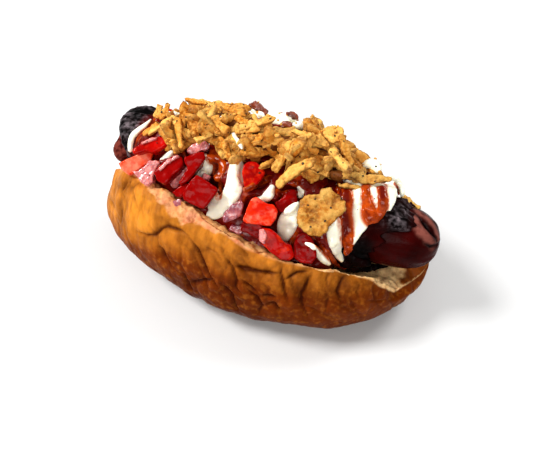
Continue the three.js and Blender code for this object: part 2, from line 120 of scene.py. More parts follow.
# Folds of the crust, read along their course in picture pixels.
CREASES = [
    [(136, 231), (146, 235.5), (153, 234.5), (161, 228), (166, 225), (173.5, 228), (181.6, 230), (188, 234)],
    [(190, 237), (197, 249), (202, 260), (208, 273), (219, 290)],
    [(225.5, 258), (232.6, 268), (236, 280), (234, 287.5), (242, 295)],
    [(234.7, 266), (253, 268.5)],
    [(181.6, 272), (186.7, 283.5), (192, 291.6)],
    [(187, 284.5), (202, 280.4), (214, 279)],
    [(243, 281), (257, 293)],
    [(240, 268.8), (255, 269.8), (270.6, 272.9), (280.8, 272)],
    [(281.8, 262), (280.8, 272), (283, 281), (284, 292), (289, 303)],
    [(283.9, 280), (297, 272), (308, 271)],
    [(312, 273), (305.3, 286), (301, 296), (302, 306), (309, 318)],
    [(245, 288), (255.3, 297), (261.4, 306), (257, 314)],
    [(261.4, 295.3), (276, 296.5)],
    [(345, 275), (341, 284), (338, 292), (343, 303)],
    [(265, 305), (274, 304), (281, 312)],
    [(221, 284), (230.4, 294.6), (233.8, 302.7), (238.4, 311)],
    [(160, 246), (163, 256), (170, 266)],
]
FAINT_CREASES = [
    [(122.5, 203), (121, 214), (121, 227)],
    [(129, 178), (124, 186), (119, 192)],
    [(150, 205), (147, 214)],
    [(350, 297), (354, 305), (361, 316)],
    [(367.6, 299), (375.7, 300.4), (385, 299.4)],
    [(387, 287), (393, 300)],
    [(325, 288), (328, 300), (325, 314)],
    [(302, 306), (312, 309), (325, 314), (338, 318)],
    [(338, 303), (350, 309), (361, 316)],
    [(375, 281), (372, 290), (375, 300), (383, 308)],
    [(189, 277), (179, 273), (170, 266)],
    [(262, 283), (268, 290), (266, 300)],
    [(291, 276), (292, 286), (297, 297)],
    [(330, 270), (327, 279), (329, 288)],
    [(360, 282), (357, 291), (360, 301)],
    [(165, 252), (172, 262), (183, 270)],
    [(205, 246), (216, 252), (224, 262)],
    [(238.8, 246), (247, 253), (251, 264)],
    [(222, 245), (224.5, 256)],
]
CREASE_DEPTH = 1.25
CREASE_WIDTH = 0.75
FAINT = 0.45  # of a crease, for the faint ones
FOLD_DEPTH = 0.9  # of the wide hollow that a crease lies in
FOLD_WIDTH = 3.6
FAR_FOLDS = (6, 2)  # millimetres that the mirrored folds of the far wall lie along and down from the near ones

# ---- Sausage and bacon ----
SAUSAGE_LINE = [
    (-73.5, 11, 36.5), (-62, 16.5, 44), (-40, 10.5, 45), (0, 1.5, 42.5), (35, -3.5, 40), (64, -4, 38),
    (78.5, -0.5, 37),
]
SAUSAGE_RADIUS = 13.2
SAUSAGE_CAP = 16.0  # length of its round right end
TIP_RADIUS = 5.4  # of the thin left end that looks out of the bacon
TIP_REACH = (3.0, 20.0)  # from here to here along the line it swells to the full radius
BACON_GAP = 1.4  # between sausage and bacon
BACON_THICK = 1.4
BACON_LAP = 23.0  # from one turn of the strip to the next
BACON_MOUTH = 9.0  # distance along the line where the bacon closes round the tip
BACON_CLOSE = 9.0  # and the way over which it closes
BACON_HEM = 59 + CENTRING[0]  # x of its right hem
BURNT_FROM = (-52, 36)  # x left of which and right of which the bacon lies bare and is burnt
BURNT_WAY = 6  # over which it turns from soaked to burnt
WRAP_RADIUS = 16.3  # of bacon and sausage together
# Where the bacon's right end is burnt to a crust, in picture pixels: (x, y, half width, half height).
CINDERS = [(399, 216, 15, 20), (356, 255, 15, 21), (370, 268, 26, 8)]
CLEARANCE = 0.35  # between the bacon and the bun's channel
SAUSAGE_MESH = (128, 260)  # points round the sausage, and along it
BACON_MESH = (180, 420)  # points round the sleeve, and along its outside and back inside
TORUS_RADIUS = 2  # of the ring that the sleeve is drawn out from
# Splits in the sausage's skin at its right end, in picture pixels.
SKIN_SPLITS = [
    [(417, 214), (424, 223), (431, 232), (437, 240)],
    [(424, 243), (431, 247), (437, 245)],
]

# Painted sheen: paler, rougher strips beside the splits that stand in for the broad highlight on the skin: (course,
# half width in millimetres).
DRY_SKIN = [
    ([(407, 214), (413, 219), (420, 229), (427, 239), (433, 245)], 2.1),
    ([(419, 212), (429, 220), (435, 228), (438, 236)], 1.6),
]

# ---- Cut vegetables, each by the outline of its front, in picture pixels ----
# (kind, thickness, outline), numbered from 1 as the nodes they stand for.
DICE = [
    ("pale", 9, [(117.5, 163), (132, 156.6), (146, 149.7), (153, 153), (150.5, 161), (141, 167.5), (136.8, 171.5),
        (129, 175.7), (121.5, 169.5)]),
    ("red", 7, [(131.5, 150), (139, 144), (148.3, 139.5), (159, 135.5), (168.5, 139), (167, 144.4), (160, 149.5),
        (152.8, 152.5), (146, 150.5), (139, 153), (133.5, 154)]),
    ("deep", 9, [(153.8, 172), (159.7, 164.5), (168, 157.5), (176.6, 154.5), (182.7, 156.6), (183.6, 163.5),
        (178.9, 170.4), (173, 175), (168, 181), (163.6, 184.5), (156, 180.5)]),
    ("deep", 9, [(183.4, 156.6), (194, 153), (204, 151.5), (205.5, 158), (200.3, 166), (194, 173.6), (188, 181),
        (181, 186), (178, 183), (183.4, 175), (187.3, 167.3), (184, 163)]),
    ("deep", 11, [(190.5, 179.6), (196.5, 174.5), (201, 177), (209.5, 183), (217.5, 188.8), (215.6, 194),
        (209.5, 202), (203.3, 209.5), (192.6, 205.5), (182.5, 199), (182.5, 194), (186, 187)]),
    ("seedy", 10, [(243, 163.8), (249, 161), (256.5, 162), (263, 167), (265.6, 173), (261.5, 179.6), (256.5, 184.6),
        (251.5, 188.7), (246.5, 190.4), (243.5, 184.6), (242, 174.6)]),
    ("coral", 9, [(242, 220.8), (246, 208.6), (250.5, 199.4), (256.3, 196.4), (262.4, 200.4), (267.6, 203.5),
        (273.7, 204), (278.3, 211.6), (276, 220), (270.8, 226.4), (260.4, 225.4), (246, 223.4)]),
    ("seedy", 8, [(260.4, 227), (270.6, 229), (280.8, 237), (284, 242.3), (292, 245.3), (295, 256), (289.5, 261.6),
        (280.8, 260.6), (270.6, 252.4), (261.4, 244.3)]),
    ("dark", 8, [(293, 246), (297, 234), (306, 233), (312, 237), (314.5, 243), (316, 250.4), (317, 257.5),
        (312, 264.2), (301, 263.4), (294.5, 258)]),
    ("deep", 6, [(171.5, 192), (178.9, 185.5), (187.3, 182.4), (188, 188.8), (183.5, 196), (175.8, 197)]),
    ("dark", 8, [(274, 202), (283.9, 196.3), (288, 188.5), (296, 190), (298, 202.4), (291.5, 211), (282.9, 213),
        (277, 211)]),
    ("dark", 8, [(241, 222), (250, 221), (261, 223), (264, 230), (260.4, 240), (248, 234), (240, 231)]),
]
ONION_DICE = [
    ("pale", 6, [(187.5, 147.4), (191, 144.6), (199.5, 141), (205, 140), (209.5, 145), (207.5, 149.6), (201, 150.5),
        (195.7, 154.4), (190.3, 154.2), (187, 152)]),
    ("pale", 7, [(130, 170), (138, 171), (144, 166), (148.3, 160.4), (156, 159.4), (160, 162.5), (156, 169),
        (153.4, 175.5), (152.6, 182), (147, 186), (140.6, 182), (135, 174.6)]),
    ("dark", 5, [(203, 171.5), (211.5, 175.5), (209, 183), (202, 178)]),
    ("dark", 7, [(222, 215), (231.6, 203.5), (241, 201), (243.6, 205), (241.4, 215), (233, 220.5), (224, 222.5)]),
]
# Further small pieces of onion that lie among the others: (kind, thickness, outline).
ONION_SCRAPS = [
    ("dark", 4, [(228, 230.5), (231.6, 223.8), (243, 226), (243.4, 232.6), (239.8, 236)]),
    ("pale", 4, [(165, 177), (171, 173.6), (179.6, 171.5), (188.5, 166.6), (190.5, 169), (182, 179), (177.6, 188),
        (173, 190)]),
    ("pale", 3, [(258.5, 229), (264, 228), (267, 236), (264.5, 245), (259.5, 240)]),
    ("pale", 4, [(157, 169), (167, 159.5), (177, 154), (180, 156), (168, 163.5), (159, 172)]),
    ("pale", 2.5, [(140, 142), (150, 137.5), (158, 136), (157, 139), (148, 142), (141, 145)]),
    ("dark", 3, [(171, 201), (180, 198.5), (183, 205), (175, 208)]),
]

# ---- Sauces: courses of ribbons, each point (pixel x, pixel y, half width in pixels) ----
MAYONNAISE = [
    [(371, 185, 20), (370, 196, 20), (369, 207, 17), (366, 214, 12)],
    [(130.6, 150, 2.8), (131, 142, 3.4), (133.5, 135.5, 3.6), (139.5, 130, 3.4), (146, 125.5, 2.8),
     (151.5, 121, 1.6)],
    [(172, 152.5, 2.6), (168, 156, 4), (162.5, 160, 2.6)],
    [(206, 156, 3), (207, 164, 6), (206, 171, 6.5), (199, 174.5, 4)],
    [(236.5, 160.5, 6), (236.5, 168, 8.4), (235.5, 178, 9.2), (233.5, 189, 9.6), (229, 198, 9.4), (222, 206, 9),
     (215, 212.5, 7.6), (209.5, 216, 4.4)],
    [(216.4, 191.5, 1.6), (215.4, 199, 3.8), (213, 208, 6)],
    [(272, 187.5, 3.4), (269.5, 194, 5.6), (263.5, 199, 4.6), (257.5, 197.5, 2)],
    [(298, 205, 5), (292.5, 214, 9.4), (288, 223, 11), (285.5, 231, 9.2), (284, 239, 5)],
    [(299, 187.5, 2.4), (302.5, 192.5, 4.6), (300, 196, 3)],
    [(306, 243.5, 2), (312, 246, 3), (319, 253.5, 4.6), (325, 260, 4.6), (328.5, 263.5, 2.4)],
    [(336, 220, 7), (334, 230, 8), (335, 241, 7.6), (338, 252, 6), (341.5, 260, 3)],
    [(339, 186, 4), (344, 180, 4), (350, 177, 3)],
    [(347, 184, 5), (356, 186, 5), (366, 184, 5), (376, 184, 5)],
    [(350, 194, 7), (349, 206, 7), (349, 218, 7), (350, 230, 6.5), (351, 240, 5)],
    [(359.5, 186, 3), (358.5, 198, 4.6), (358.5, 210, 6.4), (360.5, 221, 9.4), (357, 232, 5.4), (353.5, 243, 2)],
    [(368, 186, 5), (369, 197, 5.5), (371, 208, 6.5), (372, 217, 6)],
    [(380, 187, 6), (381.5, 197, 6.5), (382.5, 207, 6), (380.5, 214, 4)],
    [(389.5, 184.5, 6.2), (391.5, 192, 5.6), (391.5, 200, 4.6), (389.6, 209, 2)],
    [(390, 179, 4), (397, 182.5, 4.6), (401.5, 189.5, 3.8), (402, 195, 2.4)],
    [(363.5, 165.8, 4.2), (367, 163, 4.4), (373, 162.5, 4.4), (378, 167, 3.8), (379.5, 172, 3)],
    [(264.5, 124, 2.4), (268, 119.5, 5), (275.5, 118.5, 7), (283, 120.5, 6.4), (288, 125, 3.4)],
    [(294, 126.5, 4), (301, 125, 5), (307.5, 125.5, 3)],
    [(253, 111, 2.4), (256, 111.5, 3.4), (262, 115, 3)],
    [(235, 133, 3), (240, 137, 3.4), (245, 145, 3)],
]
# Dabs of mayonnaise between the crisps of the heap.
MAYONNAISE_DABS = [
    [(175.5, 112.5, 2.6), (177.5, 116, 3)], [(234, 134.5, 3.4), (236.5, 138.5, 2.2), (239.5, 143, 3.3),
     (242, 148.5, 1.4)],
    [(221.5, 117, 2), (224, 119, 2)], [(364, 165.5, 3.6), (369.5, 163, 5.4), (374.5, 165, 6), (378, 169.5, 4.4)],
]
BURNT_DRIPPINGS = [
    [(338, 259, 3), (345, 264, 5), (354, 267.5, 5.5), (364, 268.5, 5), (374, 267.5, 4), (386, 266, 2.6)],
    [(344, 250, 4), (350, 257, 5), (358, 262, 5), (368, 263, 4)],
]
HOT_SAUCE = [
    [(137, 145.5, 2.8), (138.6, 138.5, 3.1), (144, 133, 2.9), (149.5, 128, 2.7), (154, 121, 2.5), (158, 114.5, 2)],
    [(208, 157, 3), (214, 160, 5.5), (219, 164, 7.5), (218, 171, 6), (217, 178, 3.5)],
    [(225, 166, 2), (222.5, 174, 2.4), (220, 182, 2.4), (219.5, 190, 2.6), (218.4, 197, 2.8)],
    [(246, 190, 3), (253, 187, 3.4), (261, 182, 3.6), (268, 178.5, 3.6), (274, 177.5, 3)],
    [(275.5, 191, 3), (281, 194, 4), (287, 193, 3.4)],
    [(312, 239, 3), (319.5, 244.5, 3.4), (327, 253, 3.4), (335, 262, 3), (344, 267.5, 2.6)],
    [(346.5, 188.5, 5), (346.5, 200, 6), (345, 212, 6.2), (346, 224, 6.6), (347, 236, 6.2), (348.5, 247, 5),
     (347, 253, 3)],
    [(365.8, 187, 4.4), (366.5, 197, 5), (368.5, 208, 6.6), (371, 216.5, 8), (372.5, 221.5, 6)],
    [(382, 187.5, 4.6), (383, 197, 5), (383, 207, 4.8), (380.5, 215, 4), (377, 220.5, 3.4)],
    [(341, 181.5, 3), (339, 188, 3.4), (341, 194, 3)],
    [(394.5, 183.5, 1.1), (397.5, 188, 1.1), (398.5, 194, 1)],
    [(364.5, 172.8, 2.2), (370, 174, 1.6)],
    [(160, 152, 2.6), (165.5, 148.5, 3), (170, 147, 2.4)],
    [(281, 177, 3), (288, 176, 3.4), (296, 183, 3)],
]

# ---- Crispy onions: sticks read in picture pixels, (x0, y0, x1, y1, width, lift over what is below) ----
STICKS = [
    (145, 136, 160, 124, 7, 0.5), (151, 135, 173, 121, 7, 2.5), (171, 118, 190, 138, 8, 2),
    (158.5, 120, 162.5, 107, 7, 3), (163, 121, 170.5, 106, 6.5, 2.5), (183, 128, 186, 105, 8, 3),
    (189.5, 116, 199, 138, 8.5, 3), (190, 104.5, 224, 108, 8, 2.2), (214, 107, 250, 110, 8.5, 2.0),
    (187, 102, 208, 106, 5, 3), (214, 121, 228, 136, 9.5, 4.5), (175, 153.5, 193, 142, 9, 1.5),
    (197, 143, 213, 135.5, 7.5, 2), (236, 133.5, 260, 129.5, 9, 3), (239, 131, 273, 121.5, 8, 4),
    (242, 155, 275, 153, 9.5, 3), (275, 173, 289.5, 142, 10.5, 4), (276, 185, 311, 161, 11, 4.5),
    (291, 142, 331, 147, 8.5, 4), (326, 148, 346, 173, 11, 4.5), (327, 165, 330, 180, 6.5, 1),
    (338, 138, 350, 167, 7.5, 4), (348, 147, 378, 173.5, 9, 3), (226, 110, 247, 117, 7, 4),
    (222, 138, 231, 160, 7, 1.5), (249, 140, 268, 136, 7, 1.5), (262, 146, 283, 141, 7, 2),
    (204, 128, 215, 145, 7, 1.5), (332, 150, 343, 137, 6, 2), (303, 163, 320, 172, 9, 2.5),
    (253, 147, 262, 137, 6.5, 2.5), (194, 112, 212, 117, 7, 3), (236, 120, 252, 127, 7, 3),
    (168, 139, 180, 146, 7, 1), (310, 170, 328, 176, 7, 1.5), (261, 168, 275, 161, 6, 0.5),
    (270, 152, 283, 162, 7, 1.5), (341, 152, 360, 163, 6, 2), (181, 133, 192, 143, 7, 1.5),
    (230, 143, 240, 157, 7, 1.0), (291, 133, 310, 139, 6, 4.5), (403, 197, 421, 210, 8, -3.4),
]
STICK_LIFT = 1.2  # added to the lift of every stick
FILLERS = 170  # sticks between the placed ones
# Broad flakes: (outline, thickness, lift).
FLAKES = [
    ([(163, 133), (172, 131), (185, 140), (184, 144), (175.5, 151), (170, 147), (164.5, 141)], 1.8, 2.5),
    ([(213, 136), (222, 134), (228, 147), (229, 158), (221, 159.5), (215, 150)], 2.4, 3.5),
    ([(226, 136), (234, 135), (240, 147), (241, 160), (233, 161), (229, 148)], 2.2, 2.0),
    ([(197, 110), (209, 104), (221, 110), (221, 122), (213, 130), (203, 127), (196, 118)], 3.0, 3.5),
    ([(225, 112), (240, 108.5), (256, 116), (258, 126), (246, 128), (232, 124)], 2.6, 3.2),
    ([(288, 160), (303, 152), (325, 154), (327, 165), (320, 178), (311, 184), (300, 172), (288, 173)], 3.2, 4.0),
    ([(306, 126), (313, 113), (322, 118), (321, 131), (312, 134)], 2.0, 4.5),
    ([(309, 135), (320, 133), (330, 142), (329, 147), (314, 145)], 1.6, 4.5),
    ([(322, 127), (333, 123.5), (343, 129), (342, 140), (333, 143), (324, 137)], 2.2, 4.0),
    ([(336, 140), (343, 136), (352, 152), (350, 163), (342, 155)], 1.6, 4.5),
]
# Highest line of the soaked bed, behind the heap.
BED_LINE = [
    (100, 150), (120, 130), (150, 112), (245, 115), (268, 118.5), (276, 116), (286, 118), (292, 124.5), (308, 126),
    (330, 134), (350, 147), (380, 170), (400, 188), (420, 207), (450, 225),
]
# Skyline of the heap: no crisp stands above it.
SKYLINE = [
    (120, 150), (140, 137), (150, 122), (156, 109), (163, 104.5), (172, 106), (186, 99), (206, 99.5), (230, 102),
    (248, 104), (256, 114), (262, 121), (272, 121), (280, 126), (290, 128), (302, 127), (307, 114), (316, 112.5),
    (322, 120), (334, 123), (343, 129), (350, 141), (362, 152), (378, 168), (384, 173), (395, 184), (430, 200),
]
FRONT_FLAKE = [
    (298, 199.4), (305, 195.3), (320.6, 193.8), (322.5, 190), (330.8, 188), (338, 193.5), (346.3, 201.4), (344, 211),
    (337.5, 218), (329, 227.5), (324.7, 233.4), (318.6, 237.3), (311.4, 236.4), (303.3, 233.4), (299, 225.3),
    (297, 213.7),
]
LONG_FLAKE = [
    (339, 174), (343, 171), (350, 171.5), (358, 173), (366, 174), (374, 174.2), (382, 174.8), (388, 176),
    (393.5, 177.8), (392, 181), (386, 182), (379, 183.4), (371, 183.6), (364, 183.4), (357, 180.8), (350, 179.6),
    (345, 178), (340, 178.5),
]
LONG_FLAKE_UNDER = [
    (338, 182), (348, 183), (360, 184.5), (372, 185), (373.5, 188.5), (362, 190), (348, 187.5), (339, 186),
]
BACON_BITS = [
    ("fried", 3, [(247.4, 103.3), (255.7, 100.2), (261.5, 105), (268.3, 110.8), (266.4, 116), (261.5, 117.4),
        (256.5, 111.6), (249, 107.4)]),
    ("fried", 2.5, [(285.5, 112.4), (291.3, 111.8), (299.8, 117.4), (298, 119.4), (290.5, 120.3), (286, 116)]),
    ("fried", 2.5, [(278.2, 124), (283, 122.2), (293.4, 122.6), (291.5, 127), (279.7, 128.6)]),
]
PEPPER = [
    (161.5, 112), (210, 106), (177, 121), (193, 119), (186, 117), (228, 133), (221, 119), (246, 114), (318, 172),
    (335, 128), (335, 136), (331, 152), (303, 163.6), (310.5, 227), (341, 199), (376, 166.5), (401, 197),
    (351, 177.5), (270, 119), (259.5, 173), (298, 196.5), (216, 137), (207, 125), (172, 148), (157, 143), (363, 176),
    (300, 157), (245, 150), (283, 166), (343, 163), (325, 221), (308, 205), (331, 208), (315, 199),
]


# ---- Small helpers ----
def shade(red, green, blue):
    """A colour for a shader, from red, green and blue as a paint card gives them, 0 to 255."""
    return tuple(
        (part / 255 / 12.92) if part <= 10 else ((part / 255 + 0.055) / 1.055) ** 2.4
        for part in (red, green, blue)
    )


def smooth(share):
    return share * share * (3 - 2 * share)


def part_of(values, start, width):
    """How far values have come from a start over a width, 0 to 1."""
    return np.clip((values - start) / width, 0, 1)


def eased(values, start, width):
    """The same, with a soft start and end."""
    return smooth(part_of(values, start, width))


def lerp(start, end, share):
    return start + (end - start) * share


def along(table, x, column):
    """Reads a column of a table of rows (x, ...) at x, with an even curve between the rows."""
    rows = np.array(table, float)
    row = int(np.clip(np.searchsorted(rows[:, 0], x), 1, len(rows) - 1))
    share = float(np.clip((x - rows[row - 1, 0]) / (rows[row, 0] - rows[row - 1, 0]), 0, 1))
    return lerp(rows[row - 1, column], rows[row, column], lerp(share, smooth(share), 0.5))


def even_curve(points, steps):
    """Points of a centripetal curve through the given ones, `steps` to a span."""
    points = np.array(points, float)
    points = np.vstack((2 * points[0] - points[1], points, 2 * points[-1] - points[-2]))
    made = []
    for p0, p1, p2, p3 in zip(points, points[1:], points[2:], points[3:]):
        d0, d1, d2 = (max(np.linalg.norm(b - a) ** 0.5, 1e-4) for a, b in ((p0, p1), (p1, p2), (p2, p3)))
        out = ((p1 - p0) / d0 - (p2 - p0) / (d0 + d1) + (p2 - p1) / d1) * d1
        back = ((p2 - p1) / d1 - (p3 - p1) / (d1 + d2) + (p3 - p2) / d2) * d1
        t = np.linspace(0, 1, steps, endpoint=False)[:, None]
        made.append(
            p1 + out * t + (3 * (p2 - p1) - 2 * out - back) * t**2 + (2 * (p1 - p2) + out + back) * t**3
        )
    return np.vstack((*made, points[-2]))


def walked_along(points):
    """Length of the way from the first point of a course to each of them."""
    return np.concatenate(([0], np.cumsum(np.linalg.norm(np.diff(points, axis=0), axis=1))))


def from_stretch(points, start, end):
    """Distance of points from a straight stretch, and the share of the way along it."""
    span = end - start
    share = np.clip((points - start) @ span / (span @ span + 1e-9), 0, 1)
    return np.linalg.norm(points - start - share[:, None] * span, axis=1), share


def rough(points, size, octaves=3, offset=0.0):
    """Smooth noise from about -1 to 1 at points in millimetres, in lumps of the given size."""
    scale = 1 / size
    return np.array(
        [noise.fractal(Vector((p[0] * scale + offset, p[1] * scale, p[2] * scale)), 1.0, 2.0, octaves) for p in points]
    )


def pixel_ray(pixel):
    """Direction from the eye through a pixel of the picture."""
    across = (pixel[0] - PICTURE[0] / 2) / FOCAL_PIXELS
    down = (pixel[1] - PICTURE[1] / 2) / FOCAL_PIXELS
    ray = RIGHT * across - UP * down - BACK
    return ray / np.linalg.norm(ray)


def pixel_size(point):
    """Millimetres that one pixel covers at a point."""
    return float(np.dot(EYE - point, BACK)) / FOCAL_PIXELS


def pixels_of(points):
    """Pixels of the picture at which points show."""
    away = np.atleast_2d(points) - EYE
    depth = -(away @ BACK)
    across = PICTURE[0] / 2 + FOCAL_PIXELS * (away @ RIGHT) / depth
    return np.column_stack((across, PICTURE[1] / 2 - FOCAL_PIXELS * (away @ UP) / depth))


def above_line(points, line):
    """How many pixels points stand above a line of pixels, less than 0 where they don't."""
    pixels = pixels_of(points)
    return np.interp(pixels[:, 0], *np.array(line).T) - pixels[:, 1]


def press_below(points, line, margin=0):
    """Lowers the points that stand above a line of pixels, or less than a margin below it."""
    points[:, 2] -= np.clip(above_line(points, line) + margin, 0, MOST_PRESSED) * PIXEL_HEIGHT


# ---- Meshes ----
MERGED = 0.01  # millimetres between points of a solid that are one point
SCRAP_POINTS = 30  # loose parts of fewer points than this are dropped


def co_of(piece):
    """A mesh's points, in millimetres."""
    flat = np.empty(len(piece.data.vertices) * 3)
    piece.data.vertices.foreach_get("co", flat)
    return flat.reshape(-1, 3) / MM


def set_co(piece, points):
    piece.data.vertices.foreach_set("co", (np.asarray(points) * MM).ravel())
    piece.data.update()


def normals_of(piece):
    flat = np.empty(len(piece.data.vertices) * 3)
    piece.data.vertex_normals.foreach_get("vector", flat)
    return flat.reshape(-1, 3)


def set_mask(piece, name, values):
    """Stores a number for each point, or one for all, which the material reads by name."""
    attribute = piece.data.attributes.get(name) or piece.data.attributes.new(name, "FLOAT", "POINT")
    attribute.data.foreach_set("value", np.full(len(piece.data.vertices), values, np.float32))


def deselect_all():
    bpy.ops.object.select_all(action="DESELECT")


def pick(*objects):
    """Selects these objects only, the first of them active."""
    deselect_all()
    for thing in objects:
        thing.select_set(True)
    bpy.context.view_layer.objects.active = objects[0]


def start_editing(piece, select="SELECT"):
    """Edit mode on a piece, with all of it selected or none."""
    pick(piece)
    bpy.ops.object.mode_set(mode="EDIT")
    bpy.ops.mesh.select_all(action=select)


def stop_editing():
    bpy.ops.object.mode_set(mode="OBJECT")


def named(name):
    """Names the object that has just been added."""
    piece = bpy.context.object
    piece.name = name
    piece.data.name = name
    return piece


def apply_modifier(piece, kind, **settings):
    """Adds a modifier with these settings and applies it."""
    pick(piece)
    modifier = piece.modifiers.new(kind.title(), kind)
    for key, value in settings.items():
        setattr(modifier, key, value)
    bpy.ops.object.modifier_apply(modifier=modifier.name)


def lumps(piece, size, strength, depth=2):
    """Presses soft lumps of a size into a mesh, both in millimetres, and keeps how high each point came out."""
    before, outward = co_of(piece), normals_of(piece)
    texture = bpy.data.textures.new("lumps", "CLOUDS")
    texture.noise_scale = size * MM
    texture.noise_depth = depth
    apply_modifier(piece, "DISPLACE", texture=texture, texture_coords="LOCAL", strength=strength * MM, mid_level=0.5)
    bpy.data.textures.remove(texture)
    raised = ((co_of(piece) - before) * outward).sum(1)
    known = piece.data.attributes.get("crest")
    if known:
        kept = np.empty(len(before), np.float32)
        known.data.foreach_get("value", kept)
        raised = raised + kept
    set_mask(piece, "crest", raised)


def fuse(piece, voxel, rounds):
    """Makes one closed skin of what a mesh holds, with cells of a size in millimetres, and softens it."""
    apply_modifier(piece, "REMESH", mode="VOXEL", voxel_size=voxel * MM)
    if rounds:
        apply_modifier(piece, "SMOOTH", factor=0.5, iterations=rounds)


def drop_scraps(piece):
    """Deletes the loose parts of a mesh that have very few points."""
    mesh = piece.data
    ends = np.empty(len(mesh.edges) * 2, np.int32)
    mesh.edges.foreach_get("vertices", ends)
    first, second = ends[::2], ends[1::2]
    part, last = np.arange(len(mesh.vertices)), None
    while last is None or (part != last).any():
        last = part.copy()
        np.minimum.at(part, first, last[second])
        np.minimum.at(part, second, last[first])
        part = part[part]
    scraps = np.bincount(part, minlength=len(part))[part] < SCRAP_POINTS
    if scraps.any():
        start_editing(piece, "DESELECT")
        stop_editing()
        mesh.vertices.foreach_set("select", scraps)
        bpy.ops.object.mode_set(mode="EDIT")
        bpy.ops.mesh.delete(type="VERT")
        stop_editing()


def round_off(piece, bevel, voxel, rounds, size, strength):
    """Takes the edges off a cut piece and makes it softly uneven, in millimetres."""
    apply_modifier(piece, "BEVEL", width=bevel * MM, segments=2, limit_method="ANGLE")
    fuse(piece, voxel, rounds)
    lumps(piece, size, strength)


def copy_of_node(node, name):
    """A merged copy of a CAD node's solid, as a piece of its own."""
    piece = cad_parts[node].copy()
    piece.data = piece.data.copy()
    piece.name = piece.data.name = name
    for key in list(piece.keys()):
        del piece[key]
    piece.parent = None
    piece.hide_render = piece.hide_viewport = False
    piece.data.materials.clear()
    bpy.context.scene.collection.objects.link(piece)
    start_editing(piece)
    bpy.ops.mesh.remove_doubles(threshold=MERGED * MM)
    stop_editing()
    return piece


def join(pieces, name):
    """Joins pieces into the first of them and puts its place in its mesh."""
    pick(*pieces)
    if len(pieces) > 1:
        bpy.ops.object.join()
    bpy.ops.object.transform_apply(location=True, rotation=True, scale=True)
    return named(name)


def finish_piece(piece, material, slot, *nodes):
    """Gives a piece its finish and its body, and hides the CAD nodes that it stands for."""
    piece.data.materials.clear()
    piece.data.materials.append(material)
    pick(piece)
    bpy.ops.object.shade_smooth()
    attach(piece, "root")
    if nodes:
        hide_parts(*nodes)
    return piece


# ---- What is already laid, for placing the next piece on it ----
laid = []


def lay(piece):
    """Adds a piece to the surfaces that later pieces are placed on."""
    laid.append(BVHTree.FromObject(piece, bpy.context.evaluated_depsgraph_get()))


def hit(origin, ray, trees=None):
    """Nearest point and normal that a ray meets, in millimetres, or None."""
    best = None
    for tree in trees or laid:
        place, normal, _, distance = tree.ray_cast(Vector(origin * MM), Vector(ray))
        if place is not None and (best is None or distance < best[2]):
            normal = np.array(normal)
            if np.dot(normal, ray) > 0:
                normal = -normal
            best = (np.array(place) / MM, normal, distance)
    return best


def seen(pixel, trees=None):
    """The point and normal that show at a pixel."""
    return hit(EYE, pixel_ray(pixel), trees)


def shown_by(pixels, trees):
    """The points that show at pixels, of those at which something does."""
    return [found[0] for found in (seen(pixel, trees) for pixel in pixels) if found]


def on_plane(pixel, point, normal):
    """Where the ray through a pixel meets a plane."""
    ray = pixel_ray(pixel)
    return EYE + ray * (np.dot(point - EYE, normal) / np.dot(ray, normal))


# ---- Shader helpers ----
def node(tree, kind, inputs=None, **settings):
    """A shader node with its settings, and its inputs set or linked, by name or number."""
    made = tree.nodes.new(kind)
    for key, value in settings.items():
        setattr(made, key, value)
    for key, value in (inputs or {}).items():
        if isinstance(value, bpy.types.NodeSocket):
            tree.links.new(value, made.inputs[key])
        else:
            made.inputs[key].default_value = value
    return made


def grouped(tree, group_tree, inputs):
    """A node that holds a group, with its inputs set."""
    made = node(tree, "ShaderNodeGroup", node_tree=group_tree)
    for key, value in inputs.items():
        made.inputs[key].default_value = value
    return made


def group(name, inputs, outputs):
    """A new node group with these sockets, name to (kind, default), and its two ends."""
    made = bpy.data.node_groups.new(name, "ShaderNodeTree")
    for label, (kind, default) in inputs.items():
        made.interface.new_socket(name=label, in_out="INPUT", socket_type=kind).default_value = default
    for label, kind in outputs.items():
        made.interface.new_socket(name=label, in_out="OUTPUT", socket_type=kind)
    return made, made.nodes.new("NodeGroupInput").outputs, made.nodes.new("NodeGroupOutput").inputs


def mottle_group():
    """Soft blotches: a mask from 0 to 1 in lumps of a size, sharper as Low and High come together."""
    if "Mottle" in bpy.data.node_groups:
        return bpy.data.node_groups["Mottle"]
    number = "NodeSocketFloat"
    inputs = {"Scale": (number, 100.0), "Detail": (number, 4.0), "Low": (number, 0.35), "High": (number, 0.65)}
    made, given, out = group("Mottle", inputs, {"Mask": number})
    place = node(made, "ShaderNodeTexCoord").outputs["Object"]
    cloud = node(made, "ShaderNodeTexNoise", {"Vector": place, "Scale": given["Scale"], "Detail": given["Detail"]})
    ends = {"Value": cloud.outputs[0], "From Min": given["Low"], "From Max": given["High"]}
    spread = node(made, "ShaderNodeMapRange", ends)
    made.links.new(spread.outputs[0], out["Mask"])
    return made


def grain_group():
    """Fine relief: a height from cells and noise of one size, for a Bump node."""
    if "Food grain" in bpy.data.node_groups:
        return bpy.data.node_groups["Food grain"]
    number = "NodeSocketFloat"
    inputs = {"Scale": (number, 500.0), "Cells": (number, 0.3)}
    made, given, out = group("Food grain", inputs, {"Height": number})
    place = {"Vector": node(made, "ShaderNodeTexCoord").outputs["Object"], "Scale": given["Scale"]}
    cloud = node(made, "ShaderNodeTexNoise", {**place, "Detail": 6.0, "Roughness": 0.6})
    cells = node(made, "ShaderNodeTexVoronoi", place, feature="SMOOTH_F1")
    mixed = {0: given["Cells"], 2: cloud.outputs[0], 3: cells.outputs["Distance"]}
    height = node(made, "ShaderNodeMix", mixed, data_type="FLOAT")
    made.links.new(height.outputs[0], out["Height"])
    return made


